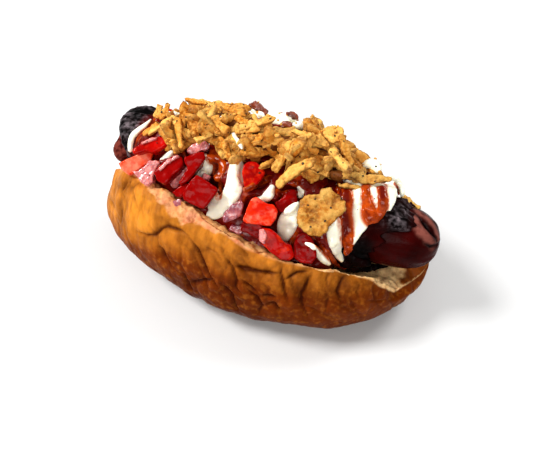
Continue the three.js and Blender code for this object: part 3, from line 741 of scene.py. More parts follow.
class Finish:
    """One material on a Principled shader. Whatever is the same all over is set on the shader itself."""

    def __init__(self, name, settings=None, **constants):
        self.settings = settings
        self.material = bpy.data.materials.new(name)
        self.material.use_nodes = True
        self.tree = self.material.node_tree
        self.shader = self.tree.nodes["Principled BSDF"]
        for key, value in constants.items():
            self.shader.inputs[key.replace("_", " ")].default_value = value

    def mask(self, name):
        """A number stored on the mesh's points."""
        return node(self.tree, "ShaderNodeAttribute", attribute_name=name).outputs["Fac"]

    def mottle(self, scale, low=0.35, high=0.65, detail=4.0):
        inputs = {"Scale": scale, "Low": low, "High": high, "Detail": detail}
        return grouped(self.tree, mottle_group(), inputs).outputs["Mask"]

    def strands(self, scale, detail, **drawn):
        """Noise that is drawn out by a mapping."""
        place = node(self.tree, "ShaderNodeTexCoord").outputs["Object"]
        drawn = node(self.tree, "ShaderNodeMapping", {"Vector": place, **drawn}).outputs[0]
        return node(self.tree, "ShaderNodeTexNoise", {"Vector": drawn, "Scale": scale, "Detail": detail}).outputs[0]

    def spread(self, value, low, high):
        """A mask from 0 at low to 1 at high."""
        return node(self.tree, "ShaderNodeMapRange", {"Value": value, "From Min": low, "From Max": high}).outputs[0]

    def maths(self, operation, first, second):
        return node(self.tree, "ShaderNodeMath", {0: first, 1: second}, operation=operation).outputs[0]

    def paint(self, colour):
        """A socket as it is, a setting by its name, or a colour of three parts."""
        colour = tone(self.settings, colour) if isinstance(colour, str) else colour
        return (*colour, 1) if isinstance(colour, tuple) else colour

    def mix(self, share, first, second):
        """The colour between two, by a share from 0 to 1."""
        inputs = {0: share, 6: self.paint(first), 7: self.paint(second)}
        return node(self.tree, "ShaderNodeMix", inputs, data_type="RGBA").outputs[2]

    def over(self, colour, *layers):
        """A colour under layers of (colour, mask, share)."""
        for above, mask, share in layers:
            colour = self.mix(self.maths("MULTIPLY", mask, share), colour, above)
        return colour

    def colour(self, socket):
        self.tree.links.new(socket, self.shader.inputs["Base Color"])

    def roughness(self, share, low, high):
        """Roughness that runs from low to high with a mask."""
        spread = node(self.tree, "ShaderNodeMapRange", {"Value": share, "To Min": low, "To Max": high})
        self.tree.links.new(spread.outputs[0], self.shader.inputs["Roughness"])

    def bump(self, *layers, strength=0.5, normal=None):
        """Relief from layers of (scale, cells, depth in millimetres), over a relief that is already there."""
        for scale, cells, depth in layers:
            grain = grouped(self.tree, grain_group(), {"Scale": scale, "Cells": cells})
            inputs = {"Height": grain.outputs["Height"], "Distance": depth * MM, "Strength": strength}
            if normal is not None:
                inputs["Normal"] = normal
            normal = node(self.tree, "ShaderNodeBump", inputs).outputs["Normal"]
        self.tree.links.new(normal, self.shader.inputs["Normal"])
        return self.material


# ---- Settings that a user would change ----
def colour_setting(name, description, *paint):
    return FloatVectorProperty(
        name=name, description=description, subtype="COLOR", size=3, min=0, max=1, default=shade(*paint)
    )


class BunSettings(bpy.types.PropertyGroup):
    """Crust and crumb of the bun."""

    # Light, golden and deep crust run down the walls: partly the bake, partly painted shade towards the foot.
    crust_light: colour_setting("Light crust", "Crust of the shoulders", 212, 136, 48)
    crust_mid: colour_setting("Golden crust", "Crust of the side walls", 120, 55, 4)
    crust_deep: colour_setting("Deep crust", "Crust near the foot", 70, 24, 1)
    # Painted shade: the crease colour darkens the folds and the valleys of the wrinkles.
    crease: colour_setting("Creases", "Bottom of the folds in the crust", 62, 16, 0)
    crumb: colour_setting("Crumb", "Torn edge and inside of the bun", 226, 176, 122)
    # Paler crumb at the right end: partly a fresher crumb, partly painted light where the sausage shades it.
    fresh_crumb: colour_setting("Fresh crumb", "Crumb at the right end, where no juice has soaked in", 255, 226, 172)
    # Painted shade in the pores of the crumb.
    crumb_hole: colour_setting("Crumb holes", "Pores of the crumb", 184, 116, 66)
    smear: colour_setting("Smear", "Juice soaked into the crumb", 204, 126, 102)
    crease_depth: FloatProperty(
        name="Crease depth", description="Depth of the sharp folds", unit="LENGTH", default=CREASE_DEPTH * MM
    )


class MeatSettings(bpy.types.PropertyGroup):
    """Sausage and bacon."""

    sausage: colour_setting("Sausage", "Glossy skin of the sausage", 62, 4, 3)
    sausage_dark: colour_setting("Dark sausage", "Skin that the fire darkened", 30, 2, 2)
    tip: colour_setting("Tip", "Dry skin of the thin end", 116, 56, 46)
    # Painted sheen: paler strips that stand in for the broad highlight on the skin.
    dry_skin: colour_setting("Dry skin", "Paler skin beside the splits", 132, 78, 68)
    char: colour_setting("Char", "Burnt bacon", 8, 6, 6)
    # Partly ash, partly painted highlight on the ridges and the top side of the burnt bacon.
    ash: colour_setting("Ash", "Ridges of the burnt bacon", 124, 112, 116)
    bacon: colour_setting("Bacon", "Bacon that is less burnt", 52, 22, 18)
    bacon_bit: colour_setting("Bacon bits", "Small fried pieces of bacon", 138, 62, 34)


class SauceSettings(bpy.types.PropertyGroup):
    """Mayonnaise, hot sauce and the juices below."""

    mayonnaise: colour_setting("Mayonnaise", "Lit tops of the mayonnaise", 255, 252, 228)
    # Yellower mayonnaise low down is painted shade; its blotches are a tint of the sauce itself.
    mayonnaise_deep: colour_setting("Low mayonnaise", "Mayonnaise low down, where oil gathers", 253, 242, 178)
    hot_sauce: colour_setting("Hot sauce", "Thin places of the hot sauce", 188, 76, 6)
    hot_sauce_deep: colour_setting("Deep hot sauce", "Thick places of the hot sauce", 100, 16, 0)
    juice: colour_setting("Juice", "Soaked bed under the vegetables", 108, 10, 2)


class VegetableSettings(bpy.types.PropertyGroup):
    """Tomato and pickled onion."""

    tomato_deep: colour_setting("Deep tomato", "Ripe skin side", 138, 1, 0)
    tomato_red: colour_setting("Red tomato", "Ripe flesh", 188, 10, 1)
    tomato_coral: colour_setting("Coral tomato", "Paler flesh", 226, 64, 24)
    tomato_pale: colour_setting("Pale tomato", "Unripe flesh", 240, 132, 104)
    onion_pale: colour_setting("Pale onion", "Pickled onion", 216, 136, 130)
    onion_dark: colour_setting("Dark onion", "Skin side of the onion", 124, 48, 66)


class CrispSettings(bpy.types.PropertyGroup):
    """Crispy fried onions."""

    light: colour_setting("Light crisp", "Pale batter", 246, 200, 112)
    golden: colour_setting("Golden crisp", "Fried batter", 208, 132, 36)
    brown: colour_setting("Brown crisp", "Darker edges", 112, 52, 6)
    fillers: IntProperty(name="Fillers", description="Sticks besides the ones placed by hand", default=FILLERS, min=0)


class HotDogSettings(bpy.types.PropertyGroup):
    """All settings of the hot dog."""

    bun: PointerProperty(type=BunSettings, name="Bun", description="Crust and crumb")
    meat: PointerProperty(type=MeatSettings, name="Meat", description="Sausage and bacon")
    sauce: PointerProperty(type=SauceSettings, name="Sauces", description="Mayonnaise and hot sauce")
    vegetable: PointerProperty(type=VegetableSettings, name="Vegetables", description="Tomato and onion")
    crisp: PointerProperty(type=CrispSettings, name="Crisps", description="Crispy fried onions")


def tone(settings, name):
    return tuple(getattr(settings, name))


# ---- Bun ----
def power(values, exponent):
    return np.sign(values) * np.abs(values) ** exponent


def bun_section(x, shares):
    """Points of the bun's section at x, at shares of the way round: near wall, foot, far wall, channel."""
    share_x = (x - BUN_CENTRE) / BUN_HALF_LENGTH
    middle = BUN_BOW * share_x**2 + CENTRING[1]
    shifted = share_x - BUN_SKEW / BUN_HALF_LENGTH * (1 - share_x**2)
    fullness = max(0, 1 - abs(shifted) ** 2.1) ** (1 / 2.1)
    width = BUN_HALF_WIDTH * fullness
    waist = BUN_WAIST - 3 * (1 - fullness)
    depth = waist * BUN_FOOT * fullness**0.7
    lips = [(along(lip, x - CENTRING[0], 1), along(lip, x - CENTRING[0], 2)) for lip in (NEAR_LIP, FAR_LIP)]
    near_angle, far_angle = (math.acos(share ** (BUN_WALL_BEND / 2)) for share, _ in lips)

    def wall(angle):
        near = np.cos(angle) > 0
        climb = np.sin(angle)
        lip_share = np.where(near, lips[0][0], lips[1][0])
        height = np.where(near, lips[0][1], lips[1][1])
        full = np.maximum(0.05, 1 - lip_share**BUN_WALL_BEND) ** (1 / BUN_WALL_BEND)
        rise = (height - waist) * min(1, fullness * 3) / full
        bend = np.where(climb > 0, BUN_WALL_BEND, BUN_FOOT_BEND)
        y = middle - width * power(np.cos(angle), 2 / bend)
        z = np.maximum(0, waist + np.where(climb > 0, rise, depth) * power(climb, 2 / bend))
        return y, z

    angles = lerp(near_angle, -math.pi - far_angle, part_of(shares, 0, WALL_SHARE))
    y, z = wall(angles)
    (near_y, near_z), (far_y, far_z) = (wall(np.array(a)) for a in (near_angle, -math.pi - far_angle))
    turn = math.pi * part_of(shares, WALL_SHARE, 1 - WALL_SHARE)
    across = 0.5 - 0.5 * np.cos(turn)
    rim = lerp(far_z, near_z, across)
    bottom = min(sausage_bottom(x) + 0.5, min(near_z, far_z) - 3 * fullness)
    shelf = 1.1 + CRUMB_SHELF * eased(across, 0.5, 0.25) * eased(-x, -30, 30)
    channel_z = lerp(rim, np.maximum(bottom, 0.45 * rim), np.sin(turn) ** shelf)
    in_channel = shares > WALL_SHARE
    y = np.where(in_channel, lerp(far_y, near_y, across), y)
    z = np.where(in_channel, channel_z, z)
    # The ear at the left end is set back a little, and the right end overhangs its foot.
    ear = 2.2 * eased(-x, 50, 26) * eased(z, 16, 14)
    beak = 0.17 * max(0, x - 45) * (1 - eased(z, 0, 17))
    return np.column_stack((x + ear - beak, y, z))


def point_shares(turns):
    """Shares of the way round a section for the turns of a ring, closer together on the near crust."""
    turns_known = (0, NEAR_POINTS, NEAR_POINTS + 0.3, 1)
    return np.interp(turns, turns_known, (0, WALL_SHARE / 2 + 0.03, WALL_SHARE, 1))


def wrinkles(points, cell, stretch, offset):
    """Valleys of a net of wrinkles from 0 to 1, in cells of a size and a stretch down the wall."""
    found = []
    bend = rough(points, cell * 1.4, 2, offset)
    for (x, y, z), sway in zip(points, bend):
        slant = x + 0.35 * z + 2.2 * sway
        near, far = noise.voronoi(Vector((slant / cell, y / (cell * stretch) + offset, z / (cell * stretch))))[0][:2]
        found.append(max(0.0, 1 - (far - near) * 4.5))
    return np.array(found)


def crease_masks(creases, x, reach):
    """How sharp and how wide each point of the crust is creased, by its x and its way down from the lip."""
    sharp = np.zeros(len(x))
    wide = np.zeros(len(x))
    for strength, crease in creases:
        length = len(crease) - 1
        for index, ((x0, s0), (x1, s1)) in enumerate(zip(crease, crease[1:])):
            span = (x1 - x0) ** 2 + (s1 - s0) ** 2 + 1e-6
            share = np.clip(((x - x0) * (x1 - x0) + (reach - s0) * (s1 - s0)) / span, 0, 1)
            away = np.hypot(x - lerp(x0, x1, share), reach - lerp(s0, s1, share))
            taper = strength * np.sin(math.pi * np.clip((index + share) / length, 0.02, 0.98)) ** 0.4
            sharp = np.maximum(sharp, taper * np.exp(-((away / (CREASE_WIDTH * (0.4 + 0.6 * taper))) ** 2)))
            wide = np.maximum(wide, taper * np.exp(-((away / FOLD_WIDTH) ** 2)))
    return sharp, wide


class HOTDOG_OT_bun(bpy.types.Operator):
    """Model the split bun: a sphere drawn out to the bun's sections, then creased and torn"""

    bl_idname = "hotdog.bun"
    bl_label = "Bun"

    def execute(self, context):
        settings = context.scene.hot_dog.bun
        deselect_all()
        bpy.ops.mesh.primitive_uv_sphere_add(segments=BUN_MESH[0], ring_count=BUN_MESH[1], radius=1)
        bun = named("split_bun")
        ball = co_of(bun) * MM
        shares = point_shares((np.arctan2(ball[:, 1], ball[:, 0]) / (2 * math.pi)) % 1)
        levels = np.round(ball[:, 2], 5)
        points = np.zeros_like(ball)
        reach = np.zeros(len(ball))
        near = np.zeros(len(ball))
        fine = np.linspace(0, 1, SECTION_STEPS, endpoint=False)
        for level in np.unique(levels):
            ring = levels == level
            x = BUN_CENTRE + BUN_HALF_LENGTH * BUN_REACH * level
            section = bun_section(x, shares[ring])
            points[ring] = section if ring.sum() > 1 else bun_section(x, fine).mean(0)
            dense = bun_section(x, fine)
            walked = walked_along(dense)
            way = np.interp(shares[ring], fine, walked)
            wall_end = np.interp(WALL_SHARE, fine, walked)
            near[ring] = shares[ring] < WALL_SHARE / 2
            reach[ring] = np.where(shares[ring] < WALL_SHARE / 2, way, wall_end - way)
        set_co(bun, points)
        in_channel = shares > WALL_SHARE
        bare = BVHTree.FromObject(bun, context.evaluated_depsgraph_get())
        folds = []
        for strength, crease in [(1.0, crease) for crease in CREASES] + [(FAINT, crease) for crease in FAINT_CREASES]:
            course = []
            for pixel in crease:
                place, _, face, _ = bare.ray_cast(Vector(EYE * MM), Vector(pixel_ray(pixel)))
                if place is not None:
                    course.append((place.x / MM, reach[bun.data.polygons[face].vertices[0]]))
            if len(course) > 1:
                folds.append((strength, course))
        shift_x, shift_down = FAR_FOLDS
        mirrored = [(strength, [(shift_x - x, s + shift_down) for x, s in fold]) for strength, fold in folds]
        place_x = points[:, 0]
        sharp_near, wide_near = crease_masks(folds, place_x, reach)
        sharp_far, wide_far = crease_masks(mirrored, place_x, reach)
        sharp = np.where(in_channel, 0, np.where(near > 0, sharp_near, sharp_far))
        wide = np.where(in_channel, 0, np.where(near > 0, wide_near, wide_far))
        fade = part_of(points[:, 2], 0, 4)
        crumb_width = np.array([along(NEAR_CRUMB, x, 1) for x in place_x])
        crumb_width = np.where(near > 0, crumb_width, 2.5)
        torn = rough(points, 5, 3)
        frayed = 1 + 0.4 * torn + 0.35 * rough(points, 13, 2, 31.0)
        crumb = part_of(crumb_width * np.maximum(frayed, 0.15), reach, 0.8)
        crumb = np.where(in_channel, 1 - eased(place_x - 65 + 3 * torn, 0, 3), crumb)
        ragged = rough(points, 3.2, 4, 21.0) + 0.5 * rough(points, 8.0, 2, 22.0)
        soft = rough(points, 22, 2, 9.0)
        puff = rough(points, 9, 2, 4.0)
        pores = rough(points, 1.7, 3, 2.0)
        depth = settings.crease_depth / MM
        creased = np.clip(0.55 + 0.9 * rough(points, 26, 2, 12.0), 0, 1)
        broad = wrinkles(points, 11, 1.7, 0.0) ** 1.3 * creased
        slight = wrinkles(points, 4.2, 1.6, 7.0) * np.clip(0.5 + rough(points, 17, 2, 15.0), 0, 1)
        relief = -(depth * sharp + FOLD_DEPTH * wide) * fade + FOLD_DEPTH * 0.45
        relief += (0.9 * soft + 0.5 * puff - 0.75 * broad - 0.3 * slight) * fade
        relief = relief * (1 - 0.6 * crumb) + crumb * (0.95 * ragged + 0.32 * pores - 0.1)
        relief *= np.clip((BUN_HALF_LENGTH - np.abs(place_x - BUN_CENTRE)) / 6, 0.1, 1)
        moved = points + normals_of(bun) * relief[:, None]
        moved[:, 2] = np.maximum(moved[:, 2], 0)
        set_co(bun, moved)
        # Mask low: the crust darkens towards the foot, less at the left end and more in the middle; partly the bake,
        # partly painted shade towards the bottom.
        browner = np.interp(place_x, (-75, -50, -26, 5, 30), (-0.4, -0.2, 0.1, 0.08, 0.03))
        low = np.clip(1 - (points[:, 2] - 2) / 38 + browner, 0, 1)
        low = np.where(in_channel, np.minimum(low, 0.3), low)
        smear = np.clip(np.exp(-(((place_x + 18) / 34) ** 2)) * (0.5 + 0.7 * rough(points, 7, 2, 6.0)), 0, 1) * near
        # Painted shade in the folds and the valleys of the wrinkles.
        crease = np.clip(0.85 * sharp**1.2 + 0.25 * wide + 0.5 * broad**1.5 + 0.22 * slight, 0, 1)
        # Paler crumb to the right: partly fresher crumb, partly painted light in the sausage's shade.
        fresh = eased(place_x, 30, 20)
        masks = {"crease": crease, "crumb": crumb, "low": low, "smear": smear, "fresh": fresh}
        for name, values in masks.items():
            set_mask(bun, name, values)
        lay(finish_piece(bun, crust_finish(settings), "crust", "bun"))
        return {"FINISHED"}


def crust_finish(settings):
    finish = Finish("crust", settings, Subsurface_Weight=0.05, Subsurface_Scale=0.004, Specular_IOR_Level=0.05)
    # Light crust at the top to deep crust at the foot: partly the bake, partly painted shade towards the bottom.
    low = finish.mask("low")
    colour = finish.mix(finish.spread(low, 0.0, 0.33), "crust_light", "crust_mid")
    colour = finish.mix(finish.spread(low, 0.45, 1.0), colour, "crust_deep")
    strands = finish.strands(420.0, 4.0, Scale=(1.0, 0.3, 0.25), Rotation=(0, 0.3, 0))
    colour = finish.over(
        colour,
        ("crust_deep", finish.mottle(75, 0.45, 0.68), 0.5),
        ("crust_deep", finish.spread(strands, 0.42, 0.66), 0.32),
        ("crust_light", finish.mottle(420, 0.5, 0.72, 2.0), 0.25),
        # painted shade in the folds and wrinkle valleys
        ("crease", finish.mask("crease"), 0.92),
    )
    crumb = finish.over(
        # the crumb's pores are painted shade
        finish.mix(finish.mottle(330, 0.34, 0.6, 3.0), "crumb_hole", "crumb"),
        # partly painted light in the sausage's shade at the right end
        ("fresh_crumb", finish.mask("fresh"), 0.5),
        ("smear", finish.mask("smear"), finish.mottle(170, 0.25, 0.6)),
        ("crust_light", finish.mottle(140, 0.5, 0.66), 0.3),
        ("crust_mid", finish.mottle(230, 0.57, 0.68, 5.0), 0.6),
    )
    finish.colour(finish.mix(finish.mask("crumb"), colour, crumb))
    finish.roughness(finish.mask("crumb"), 0.42, 0.9)
    groove = {"Height": strands, "Distance": 0.5 * MM, "Strength": 0.6}
    normal = node(finish.tree, "ShaderNodeBump", groove).outputs["Normal"]
    return finish.bump((430, 0.6, 0.55), (1000, 0.3, 0.25), strength=0.6, normal=normal)


# ---- Sausage and bacon ----
line_points = even_curve(np.array(SAUSAGE_LINE) + CENTRING, 60)
line_lengths = walked_along(line_points)
SAUSAGE_LENGTH = float(line_lengths[-1])


def line_at(distance):
    """Points of the sausage's line, with its sideways, upward and forward directions there."""
    place, ahead, behind = (
        np.column_stack([np.interp(way, line_lengths, line_points[:, axis]) for axis in range(3)])
        for way in (np.clip(np.clip(distance, 0, SAUSAGE_LENGTH) + step, 0, SAUSAGE_LENGTH) for step in (0, 1.5, -1.5))
    )
    forward = ahead - behind
    forward /= np.linalg.norm(forward, axis=1)[:, None]
    side = np.cross(np.array((0, 0, 1.0)), forward)
    side /= np.linalg.norm(side, axis=1)[:, None]
    return place, side, np.cross(forward, side), forward


def beside_line(distance, angle, radius):
    """Points beside the sausage's line, at an angle from its +Y side over the top."""
    place, side, up, _ = line_at(distance)
    return place + (side * np.cos(angle)[:, None] + up * np.sin(angle)[:, None]) * np.asarray(radius)[:, None]


def distance_at(x):
    return float(np.interp(x, line_points[:, 0], line_lengths))


def bare_radius(distance):
    """Radius of the sausage along its line: a thin tip on the left, a round cap on the right."""
    swell = eased(distance, TIP_REACH[0], TIP_REACH[1] - TIP_REACH[0])
    left = lerp(TIP_RADIUS, SAUSAGE_RADIUS, swell) * (1 - (1 - part_of(distance, 0, 5)) ** 2.2) ** (1 / 2.1)
    capped = part_of(SAUSAGE_LENGTH, distance, SAUSAGE_CAP)
    return np.minimum(left, SAUSAGE_RADIUS * (1 - (1 - capped) ** 2.2) ** (1 / 2.1))


def sausage_bottom(x):
    height = np.interp(np.clip(x, -72 + CENTRING[0], 72 + CENTRING[0]), line_points[:, 0], line_points[:, 2])
    return float(height) - WRAP_RADIUS - CLEARANCE


def away_from(points, course):
    """Distance of points from a course of points, and the share of the way along it."""
    best = np.full(len(points), np.inf)
    share_best = np.zeros(len(points))
    for index, (start, end) in enumerate(zip(course, course[1:])):
        away, share = from_stretch(points, start, end)
        nearer = away < best
        best = np.where(nearer, away, best)
        share_best = np.where(nearer, (index + share) / (len(course) - 1), share_best)
    return best, share_best


class HOTDOG_OT_sausage(bpy.types.Operator):
    """Model the sausage: a sphere drawn out along its line, puckered at both ends"""

    bl_idname = "hotdog.sausage"
    bl_label = "Sausage"

    def execute(self, context):
        settings = context.scene.hot_dog.meat
        deselect_all()
        bpy.ops.mesh.primitive_uv_sphere_add(segments=SAUSAGE_MESH[0], ring_count=SAUSAGE_MESH[1], radius=1)
        sausage = named("grilled_sausage")
        ball = co_of(sausage) * MM
        angle = np.arctan2(ball[:, 1], ball[:, 0])
        distance = SAUSAGE_LENGTH * (1 + ball[:, 2]) / 2
        to_end = np.minimum(distance, SAUSAGE_LENGTH - distance)
        capped = part_of(to_end, 0, SAUSAGE_CAP)
        radius = bare_radius(distance)
        round_at = np.column_stack((distance, 13 * np.cos(angle), 13 * np.sin(angle)))
        pucker = np.exp(-to_end / 9) * part_of(to_end, 0, 4)
        swing = 1.6 * rough(round_at / np.array((2.5, 1, 1)), 9, 2)
        radius = radius + 0.55 * pucker * np.sin(9 * angle + 3 * swing) + 0.35 * rough(round_at, 14, 2, 3.0) * capped
        radius += 0.22 * rough(round_at / np.array((4.0, 1, 1)), 2.6, 2, 5.0) * capped
        points = beside_line(distance, angle, np.maximum(radius, 0))
        set_co(sausage, points)
        bare = [BVHTree.FromObject(sausage, context.evaluated_depsgraph_get())]
        split = np.zeros(len(points))
        for course in SKIN_SPLITS:
            away, share = away_from(points, shown_by(course, bare))
            tapered = np.sin(math.pi * np.clip(share, 0.05, 0.95)) ** 0.5
            split = np.maximum(split, np.exp(-((away / 0.75) ** 2)) * tapered)
        set_co(sausage, points - normals_of(sausage) * (1.3 * split)[:, None])
        # Painted sheen beside the splits, where the skin shows a broad highlight.
        dry = np.zeros(len(points))
        grained = rough(points, 4, 3, 17.0)
        for course, width in DRY_SKIN:
            away, _ = away_from(points, shown_by(course, bare))
            dry = np.maximum(dry, eased(width + 1.2 + 0.8 * grained, away, 2.2))
        set_mask(sausage, "split", split)
        set_mask(sausage, "tip", 1 - eased(distance, TIP_REACH[1], 4))
        set_mask(sausage, "dry", dry * (1 - split))
        lay(finish_piece(sausage, sausage_finish(settings), "sausage", "sausage"))
        return {"FINISHED"}


def sausage_finish(settings):
    finish = Finish("sausage_skin", settings, Coat_Weight=0.05, Coat_Roughness=0.2, Specular_IOR_Level=0.03)
    colour = finish.over(
        finish.mix(finish.mottle(60, 0.35, 0.6), "sausage_dark", "sausage"),
        # painted sheen beside the splits
        ("dry_skin", finish.mask("dry"), finish.mottle(300, 0.2, 0.5)),
    )
    # The splits take the char colour: painted shade in their grooves.
    colour = finish.mix(finish.mask("split"), colour, "char")
    tip = finish.mix(finish.mottle(420, 0.4, 0.62), "tip", "sausage")
    finish.colour(finish.mix(finish.mask("tip"), colour, tip))
    finish.roughness(finish.maths("MAXIMUM", finish.mask("dry"), finish.mask("tip")), 0.24, 0.6)
    return finish.bump((300, 0.2, 0.5), (1200, 0.3, 0.12), strength=0.6)


class HOTDOG_OT_bacon(bpy.types.Operator):
    """Model the burnt bacon: a ring drawn out to a wrinkled sleeve round the sausage"""

    bl_idname = "hotdog.bacon"
    bl_label = "Bacon"

    def execute(self, context):
        settings = context.scene.hot_dog.meat
        deselect_all()
        around, along_it = BACON_MESH
        bpy.ops.mesh.primitive_torus_add(
            major_segments=around, minor_segments=along_it, major_radius=TORUS_RADIUS, minor_radius=1
        )
        bacon = named("burnt_bacon")
        ring = co_of(bacon) * MM
        angle = np.arctan2(ring[:, 1], ring[:, 0])
        away = np.hypot(ring[:, 0], ring[:, 1]) - TORUS_RADIUS
        loop = (np.arctan2(ring[:, 2], away) / (2 * math.pi)) % 1
        outer = loop < 0.5
        share = np.where(outer, loop * 2, 2 - loop * 2)
        end = distance_at(BACON_HEM)
        degrees = np.degrees(angle) % 360
        drawn_back = eased(degrees, 145, 40) * (1 - eased(degrees, 290, 40))
        start = BACON_MOUTH + 7.0 * drawn_back
        turn_down = eased(degrees, 121, 18)
        down = turn_down * (1 - eased(degrees, 270, 40))
        above = eased(degrees, 5, 30) * (1 - turn_down)
        ragged = 0.9 * np.sin(7 * angle + 2) + 0.6 * np.sin(17 * angle) + 0.4 * np.sin(29 * angle + 1)
        hem = end + 6.5 * above - 6 * down + 1.6 * np.sin(3 * angle) + ragged
        distance = lerp(start + 0.4 * ragged, hem, share)
        lap = (distance / BACON_LAP + angle / (2 * math.pi) + 1) % 1
        closing = part_of(distance - BACON_MOUTH + 0.35, 0, BACON_CLOSE)
        closed = (1 - (1 - closing) ** 2.4) ** (1 / 2.4)
        round_at = np.column_stack((distance, 15 * closed * np.cos(angle), 15 * closed * np.sin(angle)))
        folds = 1 - np.abs(rough(round_at / np.array((1.6, 1, 1)), 6.5, 3)) * 2.6
        crinkle = 1 - np.abs(rough(round_at, 2.6, 3, 7.0)) * 2.6
        burnt_left, burnt_right = (distance_at(x) for x in BURNT_FROM)
        bare_end = part_of(distance, burnt_right, BURNT_WAY) + part_of(burnt_left, distance, BURNT_WAY)
        flat = beside_line(distance, angle, np.full(len(angle), 16.0))
        right = eased(distance, distance_at(34), BURNT_WAY)
        pixels = pixels_of(flat)
        burnt = np.zeros(len(flat))
        for x, y, half, tall in CINDERS:
            burnt = np.maximum(burnt, np.exp(-(((pixels[:, 0] - x) / half) ** 4) - ((pixels[:, 1] - y) / tall) ** 4))
        burnt = np.where((flat - EYE) @ BACK > -DISTANCE + 4, burnt, 0.6)
        burnt = 1 - right * (1 - burnt)
        thick = BACON_THICK * (0.55 + 0.45 * lap) * (1 - 0.5 * (1 - burnt)) + bare_end * burnt * (
            (1 - right) * (0.75 * folds + 0.4 * crinkle)
            + right * (0.9 + 1.2 * rough(round_at, 5, 3, 11.0) + 0.8 * rough(round_at, 1.7, 3, 13.0))
        )
        cinder = eased(degrees, 170, 25) * (1 - eased(degrees, 235, 20))
        thick += 2.4 * cinder * eased(distance, burnt_right, BURNT_WAY)
        thick = thick * np.clip((0.5 - np.abs(share - 0.5)) * 30, 0.12, 1)
        outside = (SAUSAGE_RADIUS + BACON_GAP + thick) * closed
        hem_side = part_of(hem, distance, 5)
        hem_side = np.minimum(hem_side, 1 - drawn_back * (1 - part_of(distance, start, 4)))
        outside = np.maximum(outside - BACON_GAP * (1 - hem_side), bare_radius(distance) + 0.45)
        inside = np.minimum(bare_radius(distance) + 0.2, outside - 0.25)
        set_co(bacon, beside_line(distance, angle, np.where(outer, outside, inside)))
        recalculate(bacon)
        # Grey on the ridges and the top side: partly ash, partly painted highlight.
        grey = np.clip(0.5 * folds + 0.5 * crinkle, 0, 1) * np.clip(above + (distance < 40) * 0.8, 0, 1)
        set_mask(bacon, "ash", grey * burnt)
        set_mask(bacon, "skin", 1 - burnt)
        set_mask(bacon, "soaked", 1 - np.clip(bare_end, 0, 1))
        lay(finish_piece(bacon, bacon_finish(settings), "bacon", "bacon_wrap"))
        return {"FINISHED"}


def recalculate(piece):
    """Turns a piece's faces outwards."""
    start_editing(piece)
    bpy.ops.mesh.normals_make_consistent(inside=False)
    stop_editing()


def bacon_finish(settings):
    finish = Finish("burnt_bacon", settings, Coat_Weight=0.03, Coat_Roughness=0.15, Specular_IOR_Level=0.03)
    colour = finish.over("char", ("bacon", finish.mottle(45, 0.5, 0.75), 0.6))
    skin = finish.mix(finish.mottle(90), "sausage_dark", "sausage")
    colour = finish.mix(finish.mask("skin"), colour, skin)
    # grey ridges: partly ash, partly painted highlight
    colour = finish.over(colour, ("ash", finish.mask("ash"), finish.mottle(420, 0.38, 0.6)))
    juice = tone(bpy.context.scene.hot_dog.sauce, "juice")
    finish.colour(finish.mix(finish.mask("soaked"), colour, juice))
    finish.roughness(finish.mask("ash"), 0.38, 0.6)
    return finish.bump((500, 0.4, 0.5), (1800, 0.5, 0.15), strength=0.8)


# ---- Sauce bed ----
BURNT = shade(22, 8, 7)  # of the bed beside and under the bacon's right end: partly burnt, partly painted shade under the sausage


class HOTDOG_OT_bed(bpy.types.Operator):
    """Model the soaked bed of chopped filling that everything else lies on"""

    bl_idname = "hotdog.bed"
    bl_label = "Soaked Bed"

    def execute(self, context):
        settings = context.scene.hot_dog.sauce
        bed = copy_of_node("filling", "soaked_bed")
        fuse(bed, 0.8, 4)
        points, outward = co_of(bed), normals_of(bed)
        sink = 0.1 + 3.4 * part_of(points[:, 0], 35, 6)
        points = points - outward * sink[:, None]
        press_below(points, BED_LINE)
        centre = line_at(np.interp(points[:, 0], line_points[:, 0], line_lengths))[0]
        bared = eased(points[:, 0], 36, 8) * eased(centre[:, 1] - 2, points[:, 1], 7)
        points[:, 1:] = lerp(points[:, 1:], centre[:, 1:], 0.45 * bared[:, None])
        set_co(bed, points)
        fuse(bed, 0.8, 1)
        lumps(bed, 3.2, 1.6)
        lumps(bed, 1.1, 0.5)
        # Mask burnt: the bed's right end, partly burnt and partly painted shade under the sausage.
        set_mask(bed, "burnt", part_of(co_of(bed)[:, 0], 34, 5))
        lay(finish_piece(bed, bed_finish(settings), "sauces", "filling"))
        return {"FINISHED"}


def bed_finish(settings):
    finish = Finish("soaked_bed", settings, Specular_IOR_Level=0.28)
    colour = finish.mix(finish.mottle(110, 0.55, 0.7), "juice", "hot_sauce")
    colour = finish.mix(finish.mottle(160, 0.6, 0.7), colour, "hot_sauce_deep")
    # Near black at the right end: partly burnt, partly painted shade under the sausage.
    finish.colour(finish.mix(finish.mask("burnt"), colour, BURNT))
    finish.roughness(finish.maths("MAXIMUM", finish.mask("burnt"), finish.mottle(300, 0.4, 0.9)), 0.14, 0.85)
    return finish.bump((600, 0.3, 0.3), strength=0.5)


